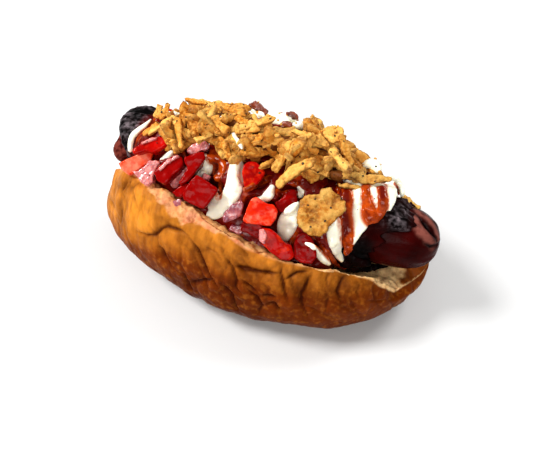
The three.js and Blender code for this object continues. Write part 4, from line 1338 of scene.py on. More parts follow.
# ---- Cut vegetables ----
def slab(name, outline, facing, place, thickness, voxel=0.55, lump=(4.0, 0.8), taper=0.86):
    """A cut piece: a flat polygon facing a direction, extruded backwards, fused and softly uneven."""
    corners = [on_plane(pixel, place, facing) for pixel in outline]
    deselect_all()
    bpy.ops.mesh.primitive_circle_add(vertices=len(corners), radius=0.01, fill_type="NGON")
    piece = named(name)
    set_co(piece, corners)
    start_editing(piece)
    away = {"value": tuple(-facing * thickness * MM), "orient_type": "GLOBAL"}
    bpy.ops.mesh.extrude_region_move(TRANSFORM_OT_translate=away)
    middle = np.mean(corners, axis=0) - facing * thickness
    bpy.ops.transform.resize(value=(taper, taper, taper), center_override=tuple(middle * MM))
    bpy.ops.mesh.select_all(action="SELECT")
    bpy.ops.mesh.normals_make_consistent(inside=False)
    stop_editing()
    round_off(piece, 0.4, voxel, 1, *lump)
    set_mask(piece, "edge", 1 - np.abs(normals_of(piece) @ facing))
    return piece


def facing_of(normal):
    """The way a cut face looks: mostly at the eye, partly as the surface below it."""
    mixed = 0.75 * BACK + 0.45 * normal
    return mixed / np.linalg.norm(mixed)


def middle_of(outline):
    return np.mean(np.array(outline, float), axis=0)


def node_front(node_name, pixel):
    """Where a CAD node shows at a pixel, or its middle where it doesn't."""
    tree = BVHTree.FromObject(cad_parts[node_name], bpy.context.evaluated_depsgraph_get())
    found = seen(pixel, [tree])
    if found:
        return found[0], found[1]
    low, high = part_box(node_name)
    return np.array((low + high) / 2) / MM, BACK


# Main colour, blotches and veins of each kind of tomato, by the names of the settings.
TOMATO_LOOKS = {
    "deep": ("tomato_deep", "tomato_deep", "tomato_red"),
    "red": ("tomato_red", "tomato_deep", "tomato_coral"),
    "coral": ("tomato_coral", "tomato_red", "tomato_pale"),
    "pale": ("tomato_pale", "tomato_coral", "tomato_red"),
    "seedy": ("tomato_deep", "tomato_red", "tomato_coral"),
    "dark": ("tomato_deep", "tomato_deep", "tomato_red"),
}
SHADED = 0.3  # of its colour that a dark piece keeps: painted shade for the pieces that lie in shade


def tomato_finish(kind, settings):
    first, second, veins = TOMATO_LOOKS[kind]
    # A dark piece is a darker copy of the deep tomato: painted shade.
    if kind == "dark":
        first = tuple(SHADED * part for part in tone(settings, first))
    finish = Finish(
        f"tomato_{kind}", settings, Subsurface_Weight=0.06, Subsurface_Scale=0.003, Subsurface_Radius=(1.0, 0.25, 0.12),
        Coat_Weight=0.08, Coat_Roughness=0.05, Specular_IOR_Level=0.06,
    )
    colour = finish.mix(finish.mottle(200 if kind == "pale" else 110, 0.4, 0.65), first, second)
    share = 0.5 if kind in ("seedy", "coral", "pale") else 0.2
    finish.colour(finish.over(colour, (veins, finish.mottle(420, 0.5, 0.68), share)))
    finish.roughness(finish.mottle(400), 0.16, 0.34)
    return finish.bump((380, 0.5, 0.5 if kind in ("seedy", "pale") else 0.25), (1300, 0.4, 0.1), strength=0.6)


def onion_finish(kind, settings):
    finish = Finish(
        f"onion_{kind}", settings, Subsurface_Weight=0.35, Subsurface_Scale=0.003, Coat_Weight=0.7, Coat_Roughness=0.15
    )
    low, high = (0.55, 0.8) if kind == "pale" else (0.3, 0.6)
    colour = finish.mix(finish.mottle(210, low, high), "onion_pale", "onion_dark")
    strands = finish.strands(1100.0, 2.0, Rotation=(0, 0, 0.8), Scale=(1, 0.15, 0.5))
    finish.colour(finish.over(colour, ("onion_dark", finish.spread(strands, 0.45, 0.62), 0.45)))
    finish.roughness(finish.mottle(400), 0.2, 0.4)
    return finish.bump((500, 0.2, 0.3), strength=0.6)


# Small dice on the far slope: (x, height, size, turn in degrees, kind).
FAR_DICE = [
    (-56, 33, 6, 20, "red"), (-45, 28, 7.5, 50, "deep"), (-37, 34, 6, 10, "coral"), (-29, 27, 8, 70, "red"),
    (-21, 34, 7, 35, "deep"), (-11, 28, 7.5, 15, "coral"), (-2, 27, 7, 60, "red"), (7, 28, 8, 30, "deep"),
    (17, 33, 7, 75, "red"), (24, 27, 8, 5, "coral"), (33, 33, 7, 40, "deep"), (40, 27, 7, 80, "red"),
    (46, 30, 6, 20, "deep"), (-51, 27, 6, 65, "pale"), (-33, 40, 5, 25, "onion"), (-25, 39, 5.5, 50, "onion"),
    (-13, 37, 5, 0, "onion"), (-6, 33, 5.5, 35, "onion"), (14, 27, 5.5, 70, "onion"), (28, 38, 5.5, 20, "onion"),
    (31, 27, 5, 55, "onion"), (-41, 39, 5.5, 10, "red"), (20, 40, 6, 45, "red"), (37, 39, 5.5, 30, "coral"),
]
HIDDEN_TOMATOES = (13, 14, 15)
HIDDEN_ONIONS = (5, 6)


def cut_pieces(rows, name, node_name, slot, finishes, lift, *form):
    """Cuts a slab for each row of (kind, thickness, outline) in front of its node, and lays it."""
    for number, (kind, thickness, outline) in enumerate(rows, start=1):
        stands_for = f"{node_name}_{number:02d}"
        place, normal = node_front(stands_for, middle_of(outline))
        facing = facing_of(normal)
        piece = slab(f"{name}_{number:02d}", outline, facing, place + BACK * lift, thickness, *form)
        lay(finish_piece(piece, finishes[kind], slot, stands_for))


def cut_hidden(number, name, node_name, slot, material):
    """Cuts a piece on the far side from its own solid, softened, and lays it."""
    stands_for = f"{node_name}_{number:02d}"
    piece = copy_of_node(stands_for, f"{name}_{number:02d}")
    round_off(piece, 0.8, 0.6, 2, 4.0, 1.0)
    lay(finish_piece(piece, material, slot, stands_for))


def small_dice(name, x, height, size, turn):
    """A small cut cube that lies on the far slope, flat on what is below it."""
    place = from_behind(x, height)
    deselect_all()
    bpy.ops.mesh.primitive_cube_add(size=1)
    piece = named(name)
    angle = math.radians(turn)
    across = turned((math.cos(angle), math.sin(angle), 0), place[1])
    centre = place[0] + place[1] * size * 0.15
    shape = Matrix.Diagonal((size * MM, size * 0.8 * MM, size * 0.62 * MM, 1.0))
    piece.matrix_world = Matrix.Translation(Vector(centre * MM)) @ across @ shape
    join([piece], name)
    round_off(piece, 0.7, 0.6, 2, 3.0, 1.3)
    return piece


class HOTDOG_OT_tomato(bpy.types.Operator):
    """Cut the tomato pieces, each from the outline of its front"""

    bl_idname = "hotdog.tomato"
    bl_label = "Tomato"

    def execute(self, context):
        settings = context.scene.hot_dog.vegetable
        finishes = {kind: tomato_finish(kind, settings) for kind in TOMATO_LOOKS}
        cut_pieces(DICE, "tomato_dice", "tomato", "tomato", finishes, 0.8)
        for number in HIDDEN_TOMATOES:
            cut_hidden(number, "tomato_dice", "tomato", "tomato", finishes["red" if number % 2 else "deep"])
        finishes["onion"] = onion_finish("far", settings)
        for number, (x, height, size, turn, kind) in enumerate(FAR_DICE, start=1):
            piece = small_dice(f"far_dice_{number:02d}", x, height, size, turn)
            lay(finish_piece(piece, finishes[kind], "pink_onion" if kind == "onion" else "tomato"))
        return {"FINISHED"}


class HOTDOG_OT_onion(bpy.types.Operator):
    """Cut the pickled onion pieces and scraps"""

    bl_idname = "hotdog.onion"
    bl_label = "Pink Onion"

    def execute(self, context):
        settings = context.scene.hot_dog.vegetable
        finishes = {kind: onion_finish(kind, settings) for kind in ("pale", "dark")}
        cut_pieces(ONION_DICE, "onion_dice", "pink_onion", "pink_onion", finishes, 1.2, 0.5, (3, 1.4))
        for number, (kind, thickness, outline) in enumerate(ONION_SCRAPS, start=1):
            place, normal, _ = seen_below(middle_of(outline))
            facing = facing_of(normal)
            name = f"onion_scrap_{number:02d}"
            piece = slab(name, outline, facing, place + facing * 1.0, thickness, 0.45, (2.5, 1.3))
            lay(finish_piece(piece, finishes[kind], "pink_onion"))
        for number in HIDDEN_ONIONS:
            cut_hidden(number, "onion_dice", "pink_onion", "pink_onion", finishes["pale"])
        return {"FINISHED"}


# ---- Ribbons of sauce ----
def paced(course, spacing):
    """Even steps along the smooth curve through a course, measured by its first two columns."""
    dense = even_curve(course, 24)
    walked = walked_along(dense[:, :2])
    steps = np.linspace(0, walked[-1], max(2, int(walked[-1] / spacing)))
    return np.column_stack([np.interp(steps, walked, column) for column in dense.T])


def bead_places(course, thickness):
    """Places of the beads that fill a ribbon's width: (pixel, point or None, normal, radius in pixels, lift)."""
    rows = paced(course, BEAD_STEP)
    ways = np.gradient(rows[:, :2], axis=0)
    ways /= np.linalg.norm(ways, axis=1)[:, None] + 1e-9
    found = []
    for (x, y, half), (way_x, way_y) in zip(rows, ways):
        bead = min(half, BEAD_PIXELS)
        lanes = max(1, int(np.ceil((half - bead) * 2 / LANE_STEP)) + 1)
        for offset in np.linspace(-(half - bead), half - bead, lanes):
            pixel = (x - way_y * offset, y + way_x * offset)
            place = seen(pixel)
            crown = math.sqrt(max(0.2, 1 - (offset / max(half, 0.1)) ** 2))
            point, normal = (place[0], place[1]) if place else (None, BACK)
            found.append((pixel, point, normal, bead, thickness * crown))
    if all(point is None for _, point, *_ in found):
        return [(pixel, level_with(pixel), *rest) for pixel, _, *rest in found]
    return without_strays(found)


def depth_of(point):
    """How far a point lies before the eye, not a number where there is none."""
    return np.nan if point is None else np.dot(EYE - point, BACK)


def at_depth(pixel, depth):
    """The point that shows at a pixel, so far before the eye."""
    ray = pixel_ray(pixel)
    return EYE + ray * (depth / -np.dot(ray, BACK))


def without_strays(found):
    """The same beads, without the place of those that lie far behind the others of their course."""
    depths = np.array([depth_of(point) for _, point, *_ in found])
    pixels = np.array([pixel for pixel, *_ in found])
    apart = np.linalg.norm(pixels[:, None] - pixels, axis=2)
    stray = depths > np.nanmin(depths + STRAY_DEPTH + STRAY_SLOPE * apart, axis=1)
    return [(bead[0], None, *bead[2:]) if lost else bead for bead, lost in zip(found, stray)]


def level_with(pixel):
    """The point that shows at a pixel if it is as far from the eye as what shows straight below it."""
    return at_depth(pixel, depth_of(seen_below(pixel)[0]))


def bridged(found):
    """Evens the depth and tilt of beads with their neighbours', so that a ribbon spans the gaps below it."""
    depths = np.array([depth_of(point) for _, point, *_ in found])
    known = ~np.isnan(depths)
    if not known.any():
        return []
    pixels = np.array([pixel for pixel, *_ in found])
    normals = np.array([normal for _, _, normal, *_ in found])
    out = []
    for index, (pixel, _, _, bead, lift) in enumerate(found):
        away = np.hypot(*(pixels - pixels[index]).T)
        close = known & (away < max(BEAD_REACH, np.min(away[known]) + 1))
        level = np.mean(depths[close])
        depth = level if np.isnan(depths[index]) else np.clip(depths[index], level - BEAD_RISE, level + BEAD_SAG)
        place = at_depth(pixel, depth)
        up = normals[close].mean(axis=0) + 0.25 * BACK
        out.append((place, up / np.linalg.norm(up), bead * pixel_size(place), lift))
    return out


def off_middle(piece, courses):
    """How far each point shows from the middle of the nearest course, 0 on it and 1 at the ribbon's edge."""
    pixels = pixels_of(co_of(piece))
    best = np.full(len(pixels), np.inf)
    for course in courses:
        rows = even_curve(course, 4)
        for start, end in zip(rows, rows[1:]):
            away, share = from_stretch(pixels, start[:2], end[:2])
            best = np.minimum(best, away / lerp(start[2], end[2], share))
    return best


def bead_mesh(name, beads):
    """One mesh of flat beads, (point, upward direction, radius, lift) each, to be fused into a ribbon."""
    deselect_all()
    bpy.ops.mesh.primitive_ico_sphere_add(subdivisions=2, radius=1)
    piece = named(name)
    ball = co_of(piece) * MM
    faces = np.array([tuple(face.vertices) for face in piece.data.polygons])
    points = []
    for place, up, radius, lift in beads:
        radius = max(radius, 0.6)
        below = min(radius, lift + BEAD_ROOT)
        out = (ball @ up)[:, None] * up
        points.append(place - up * (below - lift) + (ball - out) * radius + out * below)
    corners = np.concatenate([faces + len(ball) * index for index in range(len(beads))])
    mesh = bpy.data.meshes.new(name)
    mesh.from_pydata((np.concatenate(points) * MM).tolist(), [], corners.tolist())
    old = piece.data
    piece.data = mesh
    bpy.data.meshes.remove(old)
    return piece


def ribbons(name, courses, thickness, voxel, far=(), far_thickness=0):
    """Ribbons of sauce along their courses, the far ones too, fused into one soft skin."""
    beads = [bead for course in far for bead in far_beads(course, far_thickness)]
    for course in courses:
        beads += bridged(bead_places(course, thickness))
    piece = bead_mesh(name, beads)
    fuse(piece, voxel, 3)
    drop_scraps(piece)
    return piece


def from_behind(x, height):
    """The point and normal that a ray from behind and above meets, aimed at an x and a height."""
    return hit(np.array((x, 100.0, height + 55.0)), np.array((0, -1, -0.55)) / math.hypot(1, 0.55))


def far_beads(course, thickness):
    """Beads of a ribbon on the far slope: each point (x, height, half width), laid from behind."""
    beads = []
    for x, height, half in paced(course, FAR_STEP):
        place = from_behind(x, height)
        if place and (not beads or np.linalg.norm(place[0] - beads[-1][0]) < FAR_GAP):
            beads.append((place[0], place[1], half, thickness))
    return beads


SAUCE_SPREAD = 1.15  # how much wider the hot sauce runs than it was read
BEAD_STEP = 1.3  # pixels from bead to bead along a ribbon
LANE_STEP = 1.8  # and across it
BEAD_PIXELS = 3.4  # widest bead of a ribbon, in pixels of half width
BEAD_REACH = 6.0  # pixels to the neighbours that a bead is evened with
BEAD_ROOT = 0.9  # millimetres that a bead sinks into what it lies on
BEAD_RISE = 1.6  # millimetres that a bead may stand before its neighbours
BEAD_SAG = 0.35  # and lie behind them
STRAY_DEPTH = 10.0  # millimetres behind a neighbour from which a bead's place is left out
STRAY_SLOPE = 0.8  # and as many more for each pixel between them
FAR_STEP = 1.2  # millimetres from bead to bead on the far side
FAR_GAP = 5  # millimetres past which a far ribbon ends

# Ribbons on the far side, each point (x, height, half width) in millimetres.
FAR_MAYONNAISE = [
    [(-52, 42, 2.2), (-50, 34, 2.8), (-48, 27, 2)],
    [(-34, 40, 2.2), (-31, 33, 3.2), (-27, 26, 2.4)],
    [(-17, 44, 2.6), (-15, 35, 3.2), (-17, 27, 2.2)],
    [(-6, 56, 4.4), (-6, 48, 5.4), (-4, 38, 4.6), (-3, 30, 2.6)],
    [(3, 59, 5), (4, 49, 6.4), (4, 37, 5.4)],
    [(12, 56, 4), (12, 47, 5.4), (11, 37, 4.6), (14, 28, 2.6)],
    [(26, 42, 2.6), (29, 34, 3.2), (31, 27, 2.2)],
    [(41, 38, 2.4), (43, 31, 2.8), (46, 26, 2)],
    [(50, 44, 3), (51, 36, 3.2)],
    [(56, 44, 2.4), (57, 37, 2.6)],
]
FAR_HOT_SAUCE = [
    [(-43, 40, 1.6), (-40, 32, 2), (-41, 26, 1.4)],
    [(-23, 42, 1.6), (-22, 33, 2), (-24, 26, 1.4)],
    [(-1, 57, 1.5), (0, 48, 2.2), (0, 38, 1.8), (1, 29, 1.4)],
    [(8, 56, 1.5), (8, 47, 2.2), (8, 38, 1.8)],
    [(21, 41, 1.6), (22, 33, 2), (20, 26, 1.4)],
    [(36, 38, 1.8), (38, 31, 2.2), (38, 26, 1.4)],
    [(47, 42, 1.4), (48, 36, 1.6)],
    [(54, 44, 1.4), (54, 38, 1.6)],
]


class HOTDOG_OT_mayonnaise(bpy.types.Operator):
    """Pipe the ribbons and the dollop of mayonnaise"""

    bl_idname = "hotdog.mayonnaise"
    bl_label = "Mayonnaise"

    def execute(self, context):
        settings = context.scene.hot_dog.sauce
        piece = ribbons("mayonnaise", MAYONNAISE, 1.5, 0.5, FAR_MAYONNAISE, 1.4)
        # Mask height: the mayonnaise turns yellower low down, painted shade.
        set_mask(piece, "height", part_of(co_of(piece)[:, 2], 26, 14))
        set_mask(piece, "stain", part_of(1.5, off_middle(piece, HOT_SAUCE), 0.4))
        lay(finish_piece(piece, mayonnaise_finish(settings), "sauces", "filling"))
        return {"FINISHED"}


def mayonnaise_finish(settings):
    finish = Finish(
        "mayonnaise", settings, Subsurface_Weight=0.25, Subsurface_Scale=0.003, Subsurface_Radius=(1.0, 0.9, 0.5),
        Coat_Weight=0.3, Coat_Roughness=0.15,
    )
    colour = finish.over(
        # yellower low down: painted shade
        finish.mix(finish.mask("height"), "mayonnaise_deep", "mayonnaise"),
        ("mayonnaise_deep", finish.mottle(180, 0.55, 0.8), 0.25),
        ("hot_sauce", finish.mask("stain"), finish.mottle(260, 0.3, 0.55)),
    )
    finish.colour(colour)
    finish.roughness(finish.mottle(200), 0.22, 0.36)
    return finish.bump((160, 0.1, 0.3), strength=0.3)


class HOTDOG_OT_drippings(bpy.types.Operator):
    """Let burnt sauce run down beside the bacon at the right end"""

    bl_idname = "hotdog.drippings"
    bl_label = "Burnt Drippings"

    def execute(self, context):
        settings = context.scene.hot_dog.meat
        piece = ribbons("burnt_drippings", BURNT_DRIPPINGS, 1.6, 0.5)
        lumps(piece, 2.2, 1.2)
        finish = Finish("burnt_drippings", settings, Coat_Weight=0.05, Coat_Roughness=0.12, Specular_IOR_Level=0.03)
        finish.colour(finish.mix(finish.mottle(200), "char", "sausage_dark"))
        finish.roughness(finish.mottle(400), 0.25, 0.45)
        lay(finish_piece(piece, finish.bump((700, 0.4, 0.3)), "bacon", "bacon_wrap"))
        return {"FINISHED"}


class HOTDOG_OT_hot_sauce(bpy.types.Operator):
    """Pour the thin ribbons of hot sauce"""

    bl_idname = "hotdog.hot_sauce"
    bl_label = "Hot Sauce"

    def execute(self, context):
        settings = context.scene.hot_dog.sauce
        wide = [[(x, y, half * SAUCE_SPREAD) for x, y, half in course] for course in HOT_SAUCE]
        piece = ribbons("hot_sauce", wide, 0.55, 0.4, FAR_HOT_SAUCE, 0.6)
        lumps(piece, 2.4, 0.4)
        set_mask(piece, "edge", part_of(off_middle(piece, HOT_SAUCE), 0.35, 0.6))
        lay(finish_piece(piece, hot_sauce_finish(settings), "sauces", "filling"))
        return {"FINISHED"}


def hot_sauce_finish(settings):
    finish = Finish("hot_sauce", settings, Coat_Weight=0.28, Coat_Roughness=0.05, Specular_IOR_Level=0.12)
    colour = finish.over(
        finish.mix(finish.mottle(150, 0.36, 0.56), "hot_sauce", "hot_sauce_deep"),
        ("hot_sauce", finish.mask("edge"), 0.65),
        ("hot_sauce_deep", finish.mottle(900, 0.55, 0.7), 0.5),
    )
    finish.colour(colour)
    finish.roughness(finish.mottle(300), 0.12, 0.3)
    return finish.bump((420, 0.4, 0.3), strength=0.5)


# ---- Crispy onions ----
HEAP_SEED = 41
FORM_SEED = 300  # of the first stick form
PLAIN_MESH = (10, 16)  # points round a filler, and along it
FINE_MESH = (28, 56)  # and of a listed stick
STICK_LENGTH = 18.5  # from tip to tip of a stick form, in millimetres
STICK_WIDTH = 6.4
CORE_SINK = 3.2  # millimetres that the core lies inside the solid
CORE_MARGIN = 9  # pixels that the heap's core stays below the skyline
STICK_MARGIN = 3.5  # and the fillers
TRIES_EACH = 12  # places tried for a filler, on average
HEAP_FOOT = 48  # height above which fillers lie
NEAR_ENOUGH = 14  # millimetres before or behind a stick's middle that its tips may lie
CORE_BROWN = shade(70, 18, 4)  # painted shade inside the heap, between the sticks


def stick_form(number, segments, rings):
    """A crooked strip of batter, about 19 mm long and 6 mm wide, with blunt ends."""
    draw = random.Random(FORM_SEED + number)
    deselect_all()
    bpy.ops.mesh.primitive_uv_sphere_add(segments=segments, ring_count=rings, radius=1)
    piece = named(f"stick_form_{number}_{segments}")
    ball = co_of(piece) * MM
    run = 2 * np.arcsin(np.clip(ball[:, 2], -1, 1)) / math.pi
    blunt = np.clip(1 - np.abs(run) ** 12, 0, 1) ** 0.5
    turn = np.arctan2(ball[:, 1], ball[:, 0])
    square = 1 / (np.abs(np.cos(turn)) ** 4.5 + np.abs(np.sin(turn)) ** 4.5) ** (1 / 4.5)
    swell = 1 + 0.14 * np.sin(run * draw.uniform(2, 6) + draw.uniform(0, 6)) + draw.uniform(-0.15, 0.15) * run
    flat = draw.choice((0.4, 0.5, 0.6, 0.75))
    radius = 3.0 * blunt * square * swell
    ends = 1.2 * np.sin(turn + draw.uniform(0, 6)) * np.abs(run) ** 5
    set_co(piece, np.column_stack((9.5 * run + ends, radius * np.cos(turn), radius * flat * np.sin(turn))))
    set_mask(piece, "edge", np.maximum(np.abs(np.cos(turn)) ** 5, np.abs(run) ** 14))
    bend, twist = math.radians(draw.uniform(-45, 45)), math.radians(draw.uniform(-60, 60))
    apply_modifier(piece, "SIMPLE_DEFORM", deform_method="BEND", deform_axis="Z", angle=bend)
    apply_modifier(piece, "SIMPLE_DEFORM", deform_method="TWIST", deform_axis="X", angle=twist)
    apart = np.array((37.0 * number, 11.0 * number, 5.0))
    set_co(piece, co_of(piece) + apart)
    lumps(piece, 3.4, 1.6, 1)
    lumps(piece, 1.1, 1.0, 3)
    set_co(piece, co_of(piece) - apart)
    return piece


def turned(direction, outward, roll=0.0):
    """A rotation that lays X along a direction and Z outwards, then rolls about X."""
    x = Vector(direction).normalized()
    z = Vector(outward)
    z = (z - x * z.dot(x)).normalized()
    y = z.cross(x)
    basis = Matrix((x, y, z)).transposed()
    return basis.to_4x4() @ Matrix.Rotation(roll, 4, "X")


def placed_copy(form, place, rotation, size, tone_share):
    """A copy of a form at a place, turned and sized by its length, width and thickness."""
    piece = form.copy()
    piece.data = form.data.copy()
    bpy.context.scene.collection.objects.link(piece)
    piece.matrix_world = Matrix.Translation(Vector(place * MM)) @ rotation @ Matrix.Diagonal((*size, 1.0))
    set_mask(piece, "tone", tone_share)
    return piece


def seen_below(pixel):
    """What shows at a pixel, or at the first place straight below it in the picture."""
    return next(filter(None, (seen((pixel[0], pixel[1] + step)) for step in range(40))), None)


def shown_or_level(pixel, fallback):
    """The point that shows at a pixel, or the point of an upright plane through the fallback."""
    found = seen(pixel)
    if found and abs(np.dot(found[0] - fallback, BACK)) < NEAR_ENOUGH:
        return found[0]
    flat = np.array((BACK[0], BACK[1], 0.0))
    flat /= np.linalg.norm(flat)
    return on_plane(pixel, fallback, flat)


class HOTDOG_OT_crisps(bpy.types.Operator):
    """Heap up the crispy onions: fillers over a core, then the listed sticks and flakes"""

    bl_idname = "hotdog.crisps"
    bl_label = "Crispy Onions"

    def execute(self, context):
        settings = context.scene.hot_dog.crisp
        draw = random.Random(HEAP_SEED)
        core = copy_of_node("fried_onions", "crisp_core")
        fuse(core, 1.6, 14)
        points = co_of(core) - normals_of(core) * CORE_SINK
        press_below(points, SKYLINE, CORE_MARGIN)
        set_co(core, points)
        lumps(core, 6, 3.0)
        lumps(core, 2, 1.4)
        lay(core)
        plain = [stick_form(number, *PLAIN_MESH) for number in range(8)]
        fillers = filler_sticks(settings.fillers, core, plain, draw)
        fuse(core, 1.2, 0)
        drop_scraps(core)
        drop_scraps(bpy.data.objects["soaked_bed"])
        set_mask(core, "tone", 0.1)
        # The core takes the painted shade colour between the sticks.
        set_mask(core, "core", 1.0)
        heap = join([core] + fillers, "crisp_heap_inside")
        finish_piece(heap, crisp_finish("crisp_inside", settings), "fried_onion", "fried_onions")
        fine = [stick_form(number, *FINE_MESH) for number in range(10)]
        placed = []
        for x0, y0, x1, y1, width, lift in STICKS:
            anchor = seen_below(((x0 + x1) / 2, (y0 + y1) / 2))
            start, end = (
                shown_or_level(tip, anchor[0]) + BACK * (lift + STICK_LIFT) for tip in ((x0, y0), (x1, y1))
            )
            centre = (start + end) / 2
            across = width * pixel_size(centre) / STICK_WIDTH
            rotation = turned(end - start, 0.6 * anchor[1] + 0.6 * BACK, draw.uniform(-0.4, 0.4))
            size = (np.linalg.norm(end - start) / STICK_LENGTH, across, across * draw.uniform(0.9, 1.15))
            placed.append(placed_copy(draw.choice(fine), centre, rotation, size, draw.uniform(0.0, 0.9)))
        for number, (outline, thickness, lift) in enumerate(FLAKES):
            place, normal, _ = seen_below(middle_of(outline))
            facing, front = facing_of(normal), place + BACK * lift
            flake = slab(f"heap_flake_{number}", outline, facing, front, thickness, 0.55, (3.5, 2.8), 0.96)
            lumps(flake, 1.2, 0.9)
            set_mask(flake, "tone", draw.uniform(0.2, 0.8))
            placed.append(flake)
        for form in plain + fine:
            bpy.data.objects.remove(form)
        lay(heap)
        piece = join(placed, "crispy_onion_heap")
        lay(finish_piece(piece, crisp_finish("crisp", settings), "fried_onion", "fried_onions"))
        return {"FINISHED"}


def filler_sticks(count, core, forms, draw):
    """Sticks spread over the whole core, lying along it, few of them where the placed ones lie."""
    points, outward = co_of(core), normals_of(core)
    upper = np.flatnonzero((outward[:, 2] > -0.25) & (points[:, 2] > HEAP_FOOT))
    made = []
    tries = 0
    while len(made) < count and tries < count * TRIES_EACH:
        tries += 1
        index = int(upper[draw.randrange(len(upper))])
        normal = outward[index]
        spin = draw.uniform(0, math.pi)
        first = np.cross(normal, (0.3, 1.0, 0.1))
        first /= np.linalg.norm(first)
        direction = first * math.cos(spin) + np.cross(normal, first) * math.sin(spin)
        direction = direction + normal * draw.uniform(-0.2, 0.22)
        length, width = draw.uniform(0.5, 0.95), draw.uniform(0.45, 0.75)
        towards_eye = max(0.0, float(np.dot(normal, BACK)))
        place = points[index] + normal * (draw.uniform(1.2, 2.6) - 1.6 * towards_eye)
        tips = np.array([place + direction * length * reach for reach in (-9.0, 0.0, 9.0)])
        if above_line(tips, SKYLINE).max() > -STICK_MARGIN or (towards_eye > 0.35 and draw.random() < 0.85):
            continue
        rotation = turned(direction, normal, draw.uniform(-0.6, 0.6))
        size = (length, width, width * draw.uniform(0.8, 1.1))
        made.append(placed_copy(draw.choice(forms), place, rotation, size, draw.uniform(0, 1)))
    return made


def crisp_finish(name, settings, depth=1.0):
    """Batter, darker all over where depth is less than 1."""
    finish = Finish(name, settings, Subsurface_Weight=0.08, Subsurface_Scale=0.002, Specular_IOR_Level=0.22)
    light, golden, brown = (tuple(depth * c for c in tone(settings, key)) for key in ("light", "golden", "brown"))
    crest = finish.mask("crest")
    colour = finish.over(
        finish.mix(finish.mask("tone"), golden, light),
        (golden, finish.mottle(150, 0.45, 0.7), 0.5),
        # raised lumps lighter and sunk ones browner: painted highlight and painted shade by the relief
        (light, finish.spread(crest, 0.0, 0.6), 0.55),
        (brown, finish.spread(crest, 0.0, -0.7), 0.7),
        (brown, finish.mask("edge"), 0.7),
        (light, finish.mottle(1100, 0.5, 0.7), 0.4),
        (brown, finish.mottle(1300, 0.6, 0.72), 0.5),
        # painted shade of the heap's core
        (CORE_BROWN, finish.mask("core"), 0.85),
    )
    finish.colour(colour)
    finish.roughness(finish.mottle(500), 0.42, 0.68)
    return finish.bump((900, 0.5, 0.5), (2000, 0.5, 0.25), strength=0.9)


class HOTDOG_OT_flakes(bpy.types.Operator):
    """Lay the two broad flakes of fried onion that rest on the sauces, and dab mayonnaise between the crisps"""

    bl_idname = "hotdog.flakes"
    bl_label = "Onion Flakes"

    def execute(self, context):
        settings = context.scene.hot_dog.crisp
        material = crisp_finish("crisp_flake", settings, 0.72)
        place, normal = node_front("fried_onion_flake", middle_of(FRONT_FLAKE))
        facing = facing_of(normal)
        flake = slab("front_flake", FRONT_FLAKE, facing, place + BACK * 0.6, 2.2, 0.45, (5, 3.4), 0.96)
        lumps(flake, 1.5, 0.9)
        set_mask(flake, "tone", 0.25 + 0.5 * rough(co_of(flake), 6, 2, 40.0))
        lay(finish_piece(flake, material, "fried_onion", "fried_onion_flake"))
        place, normal = node_front("fried_onion_long_flake", middle_of(LONG_FLAKE))
        facing = facing_of(normal)
        upper = slab("upper", LONG_FLAKE, facing, place + BACK * 1.2, 1.9, 0.45, (4, 2.6), 0.94)
        lower = slab("lower", LONG_FLAKE_UNDER, facing, place, 1.8, 0.45, (4, 1.4), 0.94)
        long_flake = join([upper, lower], "long_flake")
        lumps(long_flake, 1.3, 1.2)
        set_mask(long_flake, "tone", 0.55 + 0.5 * rough(co_of(long_flake), 5, 2, 41.0))
        lay(finish_piece(long_flake, material, "fried_onion", "fried_onion_long_flake"))
        dabs = ribbons("mayonnaise_dabs", MAYONNAISE_DABS, 0.5, 0.4)
        set_mask(dabs, "height", 1.0)
        lay(finish_piece(dabs, bpy.data.materials["mayonnaise"], "sauces"))
        return {"FINISHED"}


# ---- Bacon bits, pepper and crumbs ----
SPECK_SEED = 77
SPECK_LIFT = 0.12  # millimetres from the surface to a speck's middle
# Where specks rain down: (tries, x range, y range, lowest height, size range).
PEPPER_RAIN = (90, (-52, 56), (-14, 34), 42, (0.22, 0.4))
CRUMB_RAIN = (110, (-46, 50), (3, 30), 56, (0.4, 0.95))


class HOTDOG_OT_bacon_bits(bpy.types.Operator):
    """Scatter the three bits of bacon on the mayonnaise behind"""

    bl_idname = "hotdog.bacon_bits"
    bl_label = "Bacon Bits"

    def execute(self, context):
        settings = context.scene.hot_dog.meat
        finish = Finish("bacon_bits", settings, Coat_Weight=0.5, Coat_Roughness=0.2, Subsurface_Weight=0.05)
        dark = tuple(0.35 * part for part in tone(settings, "bacon_bit"))
        finish.colour(finish.mix(finish.mottle(260, 0.4, 0.65), "bacon_bit", dark))
        finish.roughness(finish.mottle(500), 0.3, 0.5)
        finishes = {"fried": finish.bump((700, 0.4, 0.4), strength=0.7)}
        cut_pieces(BACON_BITS, "bacon_bit_piece", "bacon_bit", "bacon", finishes, 1.0, 0.4, (2.5, 1.6))
        return {"FINISHED"}


